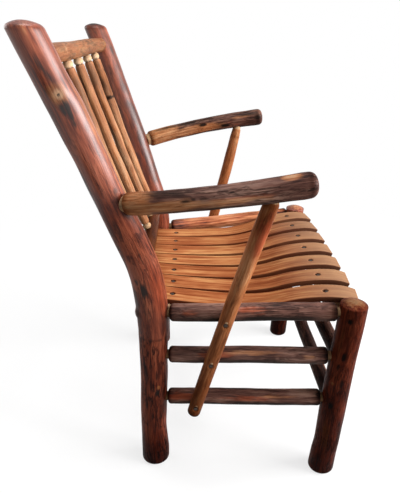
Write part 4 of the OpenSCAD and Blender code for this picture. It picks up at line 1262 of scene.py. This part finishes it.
def grown(source, group, values, name):
    """Runs a geometry node group on an object, with inputs set by name, and keeps a plain mesh."""
    modifier = source.modifiers.new(group.name, "NODES")
    modifier.node_group = group
    for item in group.interface.items_tree:
        if item.item_type == "SOCKET" and item.in_out == "INPUT" and item.name in values:
            modifier[item.identifier] = values[item.name]
    bpy.context.view_layer.update()
    depsgraph = bpy.context.evaluated_depsgraph_get()
    mesh = bpy.data.meshes.new_from_object(
        source.evaluated_get(depsgraph), preserve_all_data_layers=True, depsgraph=depsgraph)
    mesh.name = name
    made = bpy.data.objects.new(name, mesh)
    bpy.context.scene.collection.objects.link(made)
    bpy.data.objects.remove(source)
    return made


def slat_curve(along):
    """Forward, height and heading of the slats' top face at a distance along it."""
    x, z, h = 0.0, SLAT_END_Z, -math.radians(SLAT_FALL)
    for run, radius in SLAT_BENDS:
        here = min(along, run)
        turn = h + here / radius
        x, z = x + radius * (math.sin(turn) - math.sin(h)), z + radius * (math.cos(h) - math.cos(turn))
        h, along = turn, along - here
    return x, z, h


def slat_outline(half, thick, ease):
    """Points across a slat, round by its left edge, each with 1 if it is on a sawn side."""
    across = np.unique(np.round(np.concatenate(
        [np.arange(-half + ease, half - ease + 0.1, 5.5), np.arange(-8, 8.1, 1.0), [half - ease]]), 2))
    rim = [(half - ease * (1 - math.sin(a)), -ease * (1 - math.cos(a)))
           for a in (math.pi / 6, math.pi / 3, math.pi / 2)]
    outline = [(y, 0.0, 0) for y in across]
    outline += [(y, z, min(k, 1)) for k, (y, z) in enumerate(rim)] + [(half, -thick + ease, 1)]
    outline += [(y, -thick - z, 1) for y, z in reversed(rim)]
    outline += [(y, -thick, 0) for y in across[::-1]]
    outline += [(-y, -thick - z, 1) for y, z in rim] + [(-half, -ease, 1)]
    outline += [(-y, z, 1) for y, z in reversed(rim)]
    return outline[:1] + [
        b for a, b in zip(outline, outline[1:]) if abs(b[0] - a[0]) + abs(b[1] - a[1]) > 0.05]


def slat_mesh():
    """One slat lying along X from its rear end, with eased edges and two sinkings for nails."""
    s = sizes()
    half, thick, ease = s.slat_w / MM / 2, s.slat_t / MM, 1.6
    nails = NAIL_INSET, NAIL_INSET + REAR_NAILS - FRONT_NAILS
    # Rings of points stand close together at the ends and round the nails
    ends = [0, 0.5, ease, SLAT_LENGTH - ease, SLAT_LENGTH - 0.5, SLAT_LENGTH]
    stations = np.unique(np.round(np.concatenate(
        [ends, np.arange(6, SLAT_LENGTH - 2, 6)] + [np.arange(n - 9, n + 9.1, 1.0) for n in nails]), 2))
    outline = slat_outline(half, thick, ease)
    vertices, grain, sunk, edge, shade = [], [], [], [], []
    for s_at in stations:
        x, z, h = slat_curve(s_at)
        nx, nz = -math.sin(h), math.cos(h)
        # How far the ends are eased
        shy = 1.2 * max(0, 1 - min(s_at, SLAT_LENGTH - s_at) / ease) ** 2
        for y, depth, side in outline:
            dip = 0.0
            if depth == 0.0 and side == 0:
                # A sinking is 2.5 mm deep and 6.4 mm in radius, with a rim that slopes over 2.2 mm
                from_nail = min(math.hypot(s_at - n, y) for n in nails)
                dip = 2.5 * min(1, max(0, (6.4 - from_nail) / 2.2)) ** 0.7
            down = depth - dip - (shy if depth > -thick / 2 else -shy)
            vertices.append((x + down * nx, y * (1 - shy / half), z + down * nz))
            grain.append((s_at * MM, y * MM, depth * MM))
            sunk.append(min(1, dip / 2))
            edge.append(side)
            # Painted shade darkens the rolled front edge
            shade.append(0.84 - 0.16 * max(0, (s_at - 290) / 139) ** 1.4)
    n = len(outline)
    last = (len(stations) - 1) * n
    faces = [(a + j, a + n + j, a + n + (j + 1) % n, a + (j + 1) % n)
             for a in range(0, last, n) for j in range(n)]
    faces += [tuple(range(n)), tuple(range(last + n - 1, last - 1, -1))]
    return vertices, faces, {"grain": grain, "sunk": sunk, "edge": edge, "shade": shade}


def slat_group():
    """Lays count copies of a slat side by side, each turned from its rear nail to its front nail."""
    group, source, result = node_group("seat slats", {
        "Count": ("NodeSocketInt", 7), "Rear Pitch": ("NodeSocketFloat", 0.05),
        "Front Pitch": ("NodeSocketFloat", 0.07), "Rear Row": ("NodeSocketFloat", 0.08),
        "Front Row": ("NodeSocketFloat", -0.23), "Nail Inset": ("NodeSocketFloat", 0.054),
        "Warp": ("NodeSocketFloat", 0.0), "Finish": ("NodeSocketMaterial", None)})
    given = source.outputs
    line = add(group, "GeometryNodeMeshLine", {"Count": given["Count"], "Offset": (0, 0, 0)})
    index = add(group, "GeometryNodeInputIndex")
    last = add(group, "ShaderNodeMath", {0: given["Count"], 1: 1.0}, operation="SUBTRACT")
    middle = add(group, "ShaderNodeMath", {0: last, 1: 0.5}, operation="MULTIPLY")
    rank = add(group, "ShaderNodeMath", {0: index, 1: middle}, operation="SUBTRACT")
    nails = []
    for pitch, row in (("Rear Pitch", "Rear Row"), ("Front Pitch", "Front Row")):
        aside = add(group, "ShaderNodeMath", {0: rank, 1: given[pitch]}, operation="MULTIPLY")
        nails.append(add(group, "ShaderNodeCombineXYZ", {0: aside, 1: given[row]}))
    rear, front = nails
    ahead = add(group, "ShaderNodeVectorMath", {0: front, 1: rear}, operation="SUBTRACT")
    heading = add(group, "ShaderNodeVectorMath", {0: ahead}, operation="NORMALIZE")
    inset = add(group, "ShaderNodeVectorMath", {0: heading, "Scale": given["Nail Inset"]},
                operation="SCALE")
    start = add(group, "ShaderNodeVectorMath", {0: rear, 1: inset}, operation="SUBTRACT")
    placed = add(group, "GeometryNodeSetPosition", {"Geometry": line, "Position": start})
    turned = add(group, "FunctionNodeAlignRotationToVector", {"Vector": heading},
                 axis="X", pivot_axis="Z")
    many = add(group, "GeometryNodeInstanceOnPoints", {
        "Points": placed, "Instance": given["Geometry"], "Rotation": turned})
    numbered = add(group, "GeometryNodeStoreNamedAttribute", {
        "Geometry": many, "Name": "piece", "Value": index}, data_type="FLOAT", domain="INSTANCE")
    real = add(group, "GeometryNodeRealizeInstances", {"Geometry": numbered})
    # A slight warp, different on each slat, from noise that is fixed in the chair's frame
    where = add(group, "GeometryNodeInputPosition")
    wave = add(group, "ShaderNodeTexNoise", {"Vector": where, "Scale": 9.0, "Detail": 1.0})
    wave = add(group, "ShaderNodeMath", {0: wave, 1: 0.5}, operation="SUBTRACT")
    lift = add(group, "ShaderNodeMath", {0: wave, 1: given["Warp"]}, operation="MULTIPLY")
    lift = add(group, "ShaderNodeCombineXYZ", {2: lift})
    warped = add(group, "GeometryNodeSetPosition", {"Geometry": real, "Offset": lift})
    painted = add(group, "GeometryNodeSetMaterial", {"Geometry": warped, "Material": given["Finish"]})
    plug(group, result, {"Geometry": painted})
    return group


class ARMCHAIR_OT_seat_slats(bpy.types.Operator):
    """Build the bent seat slats"""

    bl_idname = "armchair.seat_slats"
    bl_label = "Seat Slats"
    bl_options = {"REGISTER", "UNDO"}

    def execute(self, context):
        s, finish = sizes(), finishes()
        source = mesh_object("slat_pattern", *slat_mesh(), finish["bent_hickory_slat"])
        made = grown(source, slat_group(), {
            "Count": s.slat_count, "Rear Pitch": s.rear_pitch, "Front Pitch": s.front_pitch,
            "Rear Row": (REAR_NAILS - MIDDLE) * MM, "Front Row": (FRONT_NAILS - MIDDLE) * MM,
            "Nail Inset": NAIL_INSET * MM, "Warp": 1.2 * MM,
            "Finish": finish["bent_hickory_slat"]}, "hickory_seat_slats")
        stand_in(made, "slat", *(f"seat_slat_{i + 1}" for i in range(s.slat_count)))
        return {"FINISHED"}


def nail_group():
    """Sets a wire nail at each point, along the direction stored there as out."""
    group, source, result = node_group("wire nails", {
        "Head Diameter": ("NodeSocketFloat", 0.008), "Head Height": ("NodeSocketFloat", 0.0016),
        "Shank Diameter": ("NodeSocketFloat", 0.003), "Length": ("NodeSocketFloat", 0.02),
        "Finish": ("NodeSocketMaterial", None)})
    given = source.outputs
    head_r = add(group, "ShaderNodeMath", {0: given["Head Diameter"], 1: 0.5}, operation="MULTIPLY")
    head = add(group, "GeometryNodeMeshUVSphere", {"Segments": 16, "Rings": 8, "Radius": head_r})
    flat = add(group, "ShaderNodeMath", {0: given["Head Height"], 1: given["Head Diameter"]},
               operation="DIVIDE")
    flat = add(group, "ShaderNodeCombineXYZ", {0: 1.0, 1: 1.0, 2: flat})
    squashed = add(group, "GeometryNodeTransform", {"Geometry": head, "Scale": flat})
    shank_r = add(group, "ShaderNodeMath", {0: given["Shank Diameter"], 1: 0.5}, operation="MULTIPLY")
    shank = add(group, "GeometryNodeMeshCylinder", {
        "Vertices": 12, "Radius": shank_r, "Depth": given["Length"]})
    drop = add(group, "ShaderNodeMath", {0: given["Length"], 1: -0.5}, operation="MULTIPLY")
    drop = add(group, "ShaderNodeCombineXYZ", {2: drop})
    lowered = add(group, "GeometryNodeTransform", {"Geometry": shank, "Translation": drop})
    nail = add(group, "GeometryNodeJoinGeometry", {"Geometry": squashed})
    plug(group, nail, {"Geometry": lowered})
    out = add(group, "GeometryNodeInputNamedAttribute", {"Name": "out"}, data_type="FLOAT_VECTOR")
    turned = add(group, "FunctionNodeAlignRotationToVector", {"Vector": out}, axis="Z")
    points = add(group, "GeometryNodeMeshToPoints", {"Mesh": given["Geometry"]})
    many = add(group, "GeometryNodeInstanceOnPoints", {
        "Points": points, "Instance": nail, "Rotation": turned})
    real = add(group, "GeometryNodeRealizeInstances", {"Geometry": many})
    rounded = add(group, "GeometryNodeSetShadeSmooth", {"Geometry": real, "Shade Smooth": True})
    painted = add(group, "GeometryNodeSetMaterial", {"Geometry": rounded, "Material": given["Finish"]})
    plug(group, result, {"Geometry": painted})
    return group


def nails(name, places, directions, shank, finish):
    """Wire nails with their heads at the places and shanks of a length in millimetres."""
    source = mesh_object(name + "_places", places, [], {"out": directions}, finish)
    return grown(source, nail_group(), {
        "Head Diameter": sizes().nail_head_d, "Head Height": 1.8 * MM, "Shank Diameter": 3 * MM,
        "Length": shank * MM, "Finish": finish}, name)


class ARMCHAIR_OT_slat_nails(bpy.types.Operator):
    """Drive the nails that hold the slats"""

    bl_idname = "armchair.slat_nails"
    bl_label = "Slat Nails"
    bl_options = {"REGISTER", "UNDO"}

    def execute(self, context):
        s, finish = sizes(), finishes()
        up = np.array([0, 0, 1])
        places, directions = [], []
        for i in range(s.slat_count):
            rank = i - (s.slat_count - 1) / 2
            rear = np.array([rank * s.rear_pitch / MM, REAR_NAILS - MIDDLE, 0])
            front = np.array([rank * s.front_pitch / MM, FRONT_NAILS - MIDDLE, 0])
            ahead = unit(front - rear)
            for along in (NAIL_INSET, NAIL_INSET + np.linalg.norm(front - rear)):
                x, z, h = slat_curve(along)
                normal = -math.sin(h) * ahead + math.cos(h) * up
                # The heads lie 2 mm below the slats' top face
                places.append(rear + (x - NAIL_INSET) * ahead + z * up - 2.0 * normal)
                directions.append(normal)
        made = nails("slat_nail_heads", places, directions, 22, finish["oxidised_steel_nail"])
        stand_in(made, "nail", "slat_nails")
        return {"FINISHED"}


class ARMCHAIR_OT_support_nails(bpy.types.Operator):
    """Drive the nails that hold the arm supports to the side poles"""

    bl_idname = "armchair.support_nails"
    bl_label = "Support Nails"
    bl_options = {"REGISTER", "UNDO"}

    def execute(self, context):
        # The heads lie 2.2 mm below the supports' outward faces
        out = sizes().support_d / MM / 2 - 2.2
        found = [nail for side in SIDES.values() for nail in nail_places(side)]
        places = [middle + out * outward for middle, _, outward in found]
        directions = [outward for _, _, outward in found]
        made = nails("support_nail_heads", places, directions, 36, finishes()["oxidised_steel_nail"])
        stand_in(made, "nail", "support_nails")
        return {"FINISHED"}


def spindle_group():
    """Stands count copies of a spindle side by side, fanned out, each with its own crooks and girth."""
    group, source, result = node_group("back spindles", {
        "Count": ("NodeSocketInt", 4), "Low Pitch": ("NodeSocketFloat", 0.075),
        "Top Pitch": ("NodeSocketFloat", 0.0866), "Height": ("NodeSocketFloat", 0.4),
        "Foot": ("NodeSocketVector", (0, 0, 0)), "Crook": ("NodeSocketFloat", 0.0),
        "Thinner": ("NodeSocketFloat", 0.0), "Thicker": ("NodeSocketFloat", 0.001),
        "Seed": ("NodeSocketInt", 0), "Finish": ("NodeSocketMaterial", None)})
    given = source.outputs
    line = add(group, "GeometryNodeMeshLine", {"Count": given["Count"], "Offset": (0, 0, 0)})
    index = add(group, "GeometryNodeInputIndex")
    last = add(group, "ShaderNodeMath", {0: given["Count"], 1: 1.0}, operation="SUBTRACT")
    middle = add(group, "ShaderNodeMath", {0: last, 1: 0.5}, operation="MULTIPLY")
    rank = add(group, "ShaderNodeMath", {0: index, 1: middle}, operation="SUBTRACT")
    aside = add(group, "ShaderNodeMath", {0: rank, 1: given["Low Pitch"]}, operation="MULTIPLY")
    aside = add(group, "ShaderNodeCombineXYZ", {0: aside})
    foot = add(group, "ShaderNodeVectorMath", {0: given["Foot"], 1: aside}, operation="ADD")
    spread = add(group, "ShaderNodeMath", {0: given["Top Pitch"], 1: given["Low Pitch"]},
                 operation="SUBTRACT")
    fan = add(group, "ShaderNodeMath", {0: rank, 1: spread}, operation="MULTIPLY")
    slope = add(group, "ShaderNodeMath", {0: fan, 1: given["Height"]}, operation="DIVIDE")
    lean = add(group, "ShaderNodeMath", {0: slope}, operation="ARCTANGENT")
    upright = add(group, "ShaderNodeMath", {0: lean}, operation="COSINE")
    longer = add(group, "ShaderNodeMath", {0: 1.0, 1: upright}, operation="DIVIDE")
    placed = add(group, "GeometryNodeSetPosition", {"Geometry": line, "Position": foot})
    many = add(group, "GeometryNodeInstanceOnPoints", {
        "Points": placed, "Instance": given["Geometry"],
        "Rotation": add(group, "ShaderNodeCombineXYZ", {1: lean}),
        "Scale": add(group, "ShaderNodeCombineXYZ", {0: 1.0, 1: 1.0, 2: longer})})
    numbered = add(group, "GeometryNodeStoreNamedAttribute", {
        "Geometry": many, "Name": "piece", "Value": index}, data_type="FLOAT", domain="INSTANCE")
    real = add(group, "GeometryNodeRealizeInstances", {"Geometry": numbered})
    free = add(group, "GeometryNodeInputNamedAttribute", {"Name": "free"}, data_type="FLOAT")
    number = add(group, "GeometryNodeInputNamedAttribute", {"Name": "piece"}, data_type="FLOAT")
    pole = add(group, "GeometryNodeInputNamedAttribute", {"Name": "pole"}, data_type="FLOAT_VECTOR")
    along = add(group, "ShaderNodeSeparateXYZ", {0: pole}).outputs["Z"]
    # Each copy reads its crooks from its own row of the noise
    row = add(group, "ShaderNodeMath", {0: given["Seed"], 1: 0.61}, operation="MULTIPLY")
    row = add(group, "ShaderNodeMath", {0: number, 1: 3.7, 2: row}, operation="MULTIPLY_ADD")
    crooks = add(group, "ShaderNodeTexNoise", {
        "Vector": add(group, "ShaderNodeCombineXYZ", {0: along, 1: row}), "Scale": 8.0, "Detail": 1.5})
    crooks = add(group, "ShaderNodeVectorMath", {0: crooks.outputs["Color"], 1: (0.5, 0.5, 0.5)},
                 operation="SUBTRACT")
    crooks = add(group, "ShaderNodeVectorMath", {0: crooks, 1: (1, 1, 0)}, operation="MULTIPLY")
    reach = add(group, "ShaderNodeMath", {0: free, 1: given["Crook"]}, operation="MULTIPLY")
    push = add(group, "ShaderNodeVectorMath", {0: crooks, "Scale": reach}, operation="SCALE")
    girth = add(group, "FunctionNodeRandomValue", {
        "Min": given["Thinner"], "Max": given["Thicker"], "ID": number, "Seed": given["Seed"]})
    girth = add(group, "ShaderNodeMath", {0: girth, 1: free}, operation="MULTIPLY")
    out = add(group, "GeometryNodeInputNormal")
    growth = add(group, "ShaderNodeVectorMath", {0: out, "Scale": girth}, operation="SCALE")
    move = add(group, "ShaderNodeVectorMath", {0: push, 1: growth}, operation="ADD")
    crooked = add(group, "GeometryNodeSetPosition", {"Geometry": real, "Offset": move})
    # Each copy reads its finish from its own stretch of grain
    shift = add(group, "ShaderNodeMath", {0: number, 1: SPINDLE_SHIFT}, operation="MULTIPLY")
    shift = add(group, "ShaderNodeCombineXYZ", {2: shift})
    moved = add(group, "ShaderNodeVectorMath", {0: pole, 1: shift}, operation="ADD")
    stored = add(group, "GeometryNodeStoreNamedAttribute", {
        "Geometry": crooked, "Name": "pole", "Value": moved}, data_type="FLOAT_VECTOR", domain="POINT")
    painted = add(group, "GeometryNodeSetMaterial", {"Geometry": stored, "Material": given["Finish"]})
    plug(group, result, {"Geometry": painted})
    return group


class ARMCHAIR_OT_back_spindles(bpy.types.Operator):
    """Build the thin bowed spindles of the back"""

    bl_idname = "armchair.back_spindles"
    bl_label = "Back Spindles"
    bl_options = {"REGISTER", "UNDO"}

    SEED = 91
    # By spindle, from the sitter's right
    MARKS = {
        0: [(RED, 200, -90, 120, 9, 0.6), (DARK, 320, None, 60, 1, 0.36)],
        1: [(DARK, 330, -110, 40, 4, 0.6), (RED, 270, -60, 60, 5, 0.5), (DARK, 330, None, 45, 1, 0.3)],
        2: [(RED, 300, -100, 60, 6, 0.6), (DARK, 230, -110, 50, 3, 0.6), (DARK, 315, None, 60, 1, 0.36)],
        3: [(DARK, 288, None, 4.5, 1, 0.85), (DARK, 332, None, 34, 1, 0.5), (TAN, 183, -45, 14, 5, 0.8)],
    }

    def execute(self, context):
        s, finish = sizes(), finishes()
        # The spindles' middle plane, from the middle of one rail to that of the other
        foot = rear_axis(LOW_RAIL_Z, 1, LOW_RAIL_BACK) * [0, 1, 1]
        rise = rear_axis(CREST_Z, 1) * [0, 1, 1] - foot
        path = bowed(foot, foot + rise, np.array([0, 6.5, 0])) - foot
        total = measured(path)[-1]
        r = s.spindle_d / MM / 2
        profile, marks = [], [
            (BARE_AND_GLINT, total / 2, None, total, 1, 0.44), (RED, total - 70, None, 110, 1, 0.5)]
        # Each end is whittled to a bead and a neck
        for rail_d, start, sign in ((s.low_rail_d, 0, 1), (s.crest_d, total, -1)):
            root = rail_d / MM / 2
            end = [(root - 6, 6.2), (root - 0.5, 6.4), (root + 1.5, 8.2), (root + 5, 9.1),
                   (root + 8.5, 8.4), (root + 11, 6.4)]
            end += rounded_shoulder(root + 12, 5, 6.4, r * 0.96) + [(root + 60, r)]
            profile += [(start + sign * a, b) for a, b in end[::sign]]
            # The bead is pale; the dark rings where it meets the rail and at the neck under it are
            # painted shade
            marks += [(BARE_AND_GLINT, start + sign * (root + 4), None, 8, 1, 1),
                      (DARK, start + sign * (root - 1), None, 2, 1, 0.6),
                      (DARK, start + sign * (root + 11.5), None, 2.6, 1, 0.6)]
        shade = ((0, 0.76), (30, 0.76), (90, 0.88), (total - 34, 0.84), (total - 26, 1.12),
                 (total, 1.12))
        vertices, faces, attributes = pole_mesh(
            path, profile, self.SEED, sides=32, step=3, lump=0.02, wander=0.2, shade=shade, marks=marks)
        # The ends stay where the rails hold them
        up = np.clip(np.asarray(vertices)[:, 2] / rise[2], 0, 1)
        attributes["free"] = np.clip(2.4 * np.sin(math.pi * up) - 0.25, 0, 1)
        source = mesh_object(
            "spindle_pattern", vertices, faces, attributes, finish["peeled_hickory"])
        made = grown(source, spindle_group(), {
            "Count": s.spindle_count, "Low Pitch": s.spindle_low_pitch,
            "Top Pitch": s.spindle_top_pitch, "Height": rise[2] * MM, "Foot": tuple(foot * MM),
            "Crook": 12 * MM, "Thinner": 0.3 * MM, "Thicker": 1.9 * MM, "Seed": 95,
            "Finish": finish["peeled_hickory"]}, "hickory_back_spindles")
        self.paint(made.data, r)
        stand_in(made, "peeled_pole", *(f"back_spindle_{i + 1}" for i in range(s.spindle_count)))
        return {"FINISHED"}

    def paint(self, mesh, r):
        """Adds each spindle's own marks to the skin that all four share."""
        count = len(mesh.vertices)
        piece, pole, skin = (np.zeros(count * n, np.float32) for n in (1, 3, 4))
        for label, values, field in (
                ("piece", piece, "value"), ("pole", pole, "vector"), ("skin", skin, "color")):
            mesh.attributes[label].data.foreach_get(field, values)
        pole, skin = pole.reshape(-1, 3), skin.reshape(-1, 4)
        along = (pole[:, 2] - grain_start(self.SEED) - SPINDLE_SHIFT * piece) / MM
        around = np.arctan2(pole[:, 1], pole[:, 0])
        for number, marks in self.MARKS.items():
            mine = piece.round() == number
            for kind in SKIN_KINDS:
                mark = spots(along[mine], around[mine], r, marks, kind)
                skin[mine, kind] = np.maximum(skin[mine, kind], mark)
        mesh.attributes["skin"].data.foreach_set("color", skin.ravel())


# ---------------------------------------------------------------- studio


def seen_directly(tree):
    """One for rays from the camera, a reflection or a clear body, and nought for the light's own."""
    rays = add(tree, "ShaderNodeLightPath").outputs
    seen = rays["Is Camera Ray"]
    for kind in ("Is Glossy Ray", "Is Transmission Ray"):
        seen = add(tree, "ShaderNodeMath", {0: seen, 1: rays[kind]}, operation="MAXIMUM")
    return seen


class ARMCHAIR_OT_studio(bpy.types.Operator):
    """Set the camera, the floor and the soft lights"""

    bl_idname = "armchair.studio"
    bl_label = "Studio"
    bl_options = {"REGISTER", "UNDO"}

    WHITE = (1, 1, 1, 1)
    # The photograph's longer side and the camera's focal length in pixels, and the width of
    # Blender's sensor in millimetres
    PHOTO_HEIGHT, FOCAL_LENGTH, SENSOR = 493, 469.483, 36
    CAMERA_AT = (-1.00261, 0.05183 - MIDDLE * MM, 0.89308)
    RIGHT = (-0.021718, -0.999760, 0.002971)
    UP = (0.421653, -0.006465, 0.906736)
    AHEAD = (0.906499, -0.020945, -0.421692)
    # Name, place, what it points at, width, height and power in watts
    LAMPS = (
        ("front_softbox", (-0.6, -3.1, 1.3), (0, 0, 0.5), 2.2, 1.1, 215),
        ("near_softbox", (-1.9, -2.2, 2.2), (0, 0, 0.5), 1.8, 1.8, 26),
        ("top_softbox", (0.0, 0.1, 2.9), (0, 0, 0.4), 1.2, 1.2, 40),
        ("rear_softbox", (1.7, 2.7, 1.6), (0, 0, 0.5), 1.6, 1.6, 34),
    )
    # In millimetres: half the side of the floor, and its height, a little below the feet
    FLOOR_REACH, FLOOR_Z = 9000, -1

    def execute(self, context):
        self.camera(context.scene)
        self.floor()
        self.world(context.scene)
        for lamp in self.LAMPS:
            self.lamp(context.scene, *lamp)
        context.scene.view_settings.view_transform = "Standard"
        return {"FINISHED"}

    def camera(self, scene):
        made = bpy.data.objects.new("camera", bpy.data.cameras.new("camera"))
        scene.collection.objects.link(made)
        turn = Matrix((Vector(self.RIGHT), Vector(self.UP), -Vector(self.AHEAD))).transposed().to_4x4()
        turn.translation = Vector(self.CAMERA_AT)
        made.matrix_world = turn
        made.data.sensor_width = self.SENSOR
        made.data.lens = self.FOCAL_LENGTH * self.SENSOR / self.PHOTO_HEIGHT
        scene.camera = made

    def floor(self):
        material, tree, shader = material_tree("matt_studio_paper")
        # The camera sees near-white paper that keeps a faint shadow. Its bounce is that of grey paper.
        seen = seen_directly(tree)
        plug(tree, shader, {
            "Base Color": add(tree, "ShaderNodeMix", {
                "Factor": seen, "A": colours().floor, "B": self.WHITE}, data_type="RGBA"),
            "Roughness": 0.9, "Specular IOR Level": 0.0})
        light = add(tree, "ShaderNodeEmission", {"Color": self.WHITE, "Strength": 1.0})
        where = add(tree, "ShaderNodeNewGeometry").outputs["Position"]
        away = add(tree, "ShaderNodeVectorMath", {0: where}, operation="LENGTH")
        white = add(tree, "ShaderNodeMapRange", {
            "Value": away, "From Min": 0.5, "From Max": 1.7, "To Min": 0.72, "To Max": 1.0},
            interpolation_type="SMOOTHSTEP")
        share = add(tree, "ShaderNodeMath", {0: seen, 1: white}, operation="MULTIPLY")
        mixed = add(tree, "ShaderNodeMixShader", {0: share, 1: shader, 2: light})
        plug(tree, tree.nodes["Material Output"], {"Surface": mixed})
        r, z = self.FLOOR_REACH, self.FLOOR_Z
        corners = [(-r, -r, z), (r, -r, z), (r, r, z), (-r, r, z)]
        mesh_object("studio_floor", corners, [(0, 1, 2, 3)], {}, material, False)

    def world(self, scene):
        world = bpy.data.worlds.new("studio")
        scene.world = world
        world.use_nodes = True
        tree = world.node_tree
        # Soft fill from all round for the chair, and plain white for the camera
        fill = tree.nodes["Background"]
        plug(tree, fill, {"Color": self.WHITE, "Strength": 0.16})
        white = add(tree, "ShaderNodeBackground", {"Color": self.WHITE, "Strength": 1.0})
        mixed = add(tree, "ShaderNodeMixShader", {0: seen_directly(tree), 1: fill, 2: white})
        plug(tree, tree.nodes["World Output"], {"Surface": mixed})

    def lamp(self, scene, name, place, target, width, height, power):
        data = bpy.data.lights.new(name, "AREA")
        data.shape, data.size, data.size_y, data.energy = "RECTANGLE", width, height, power
        made = bpy.data.objects.new(name, data)
        made.location = place
        aim = Vector(target) - Vector(place)
        made.rotation_euler = aim.to_track_quat("-Z", "Y").to_euler()
        scene.collection.objects.link(made)


# In the order in which they are run
OPERATORS = (
    ARMCHAIR_OT_rear_posts, ARMCHAIR_OT_front_posts, ARMCHAIR_OT_side_poles,
    ARMCHAIR_OT_cross_poles, ARMCHAIR_OT_seat_bearers, ARMCHAIR_OT_back_rails,
    ARMCHAIR_OT_back_spindles, ARMCHAIR_OT_arms, ARMCHAIR_OT_arm_supports,
    ARMCHAIR_OT_seat_slats, ARMCHAIR_OT_slat_nails, ARMCHAIR_OT_support_nails, ARMCHAIR_OT_studio,
)


class ARMCHAIR_PT_panel(bpy.types.Panel):
    """The steps that build the chair, and its sizes and colours"""

    bl_label = "Armchair"
    bl_idname = "ARMCHAIR_PT_panel"
    bl_space_type = "VIEW_3D"
    bl_region_type = "UI"
    bl_category = "Armchair"

    def draw(self, context):
        for operator in OPERATORS:
            self.layout.operator(operator.bl_idname)
        for group in (context.scene.armchair_sizes, context.scene.armchair_colours):
            box = self.layout.box()
            for name in group.bl_rna.properties.keys():
                if name not in {"rna_type", "name"}:
                    box.prop(group, name)


CLASSES = (ArmchairSizes, ArmchairColours, *OPERATORS, ARMCHAIR_PT_panel)


def register():
    for cls in CLASSES:
        bpy.utils.register_class(cls)
    bpy.types.Scene.armchair_sizes = bpy.props.PointerProperty(type=ArmchairSizes)
    bpy.types.Scene.armchair_colours = bpy.props.PointerProperty(type=ArmchairColours)


def unregister():
    del bpy.types.Scene.armchair_colours
    del bpy.types.Scene.armchair_sizes
    for cls in reversed(CLASSES):
        bpy.utils.unregister_class(cls)


def main():
    register()
    for operator in OPERATORS:
        group, name = operator.bl_idname.split(".")
        getattr(getattr(bpy.ops, group), name)()


if __name__ == "__main__":
    main()
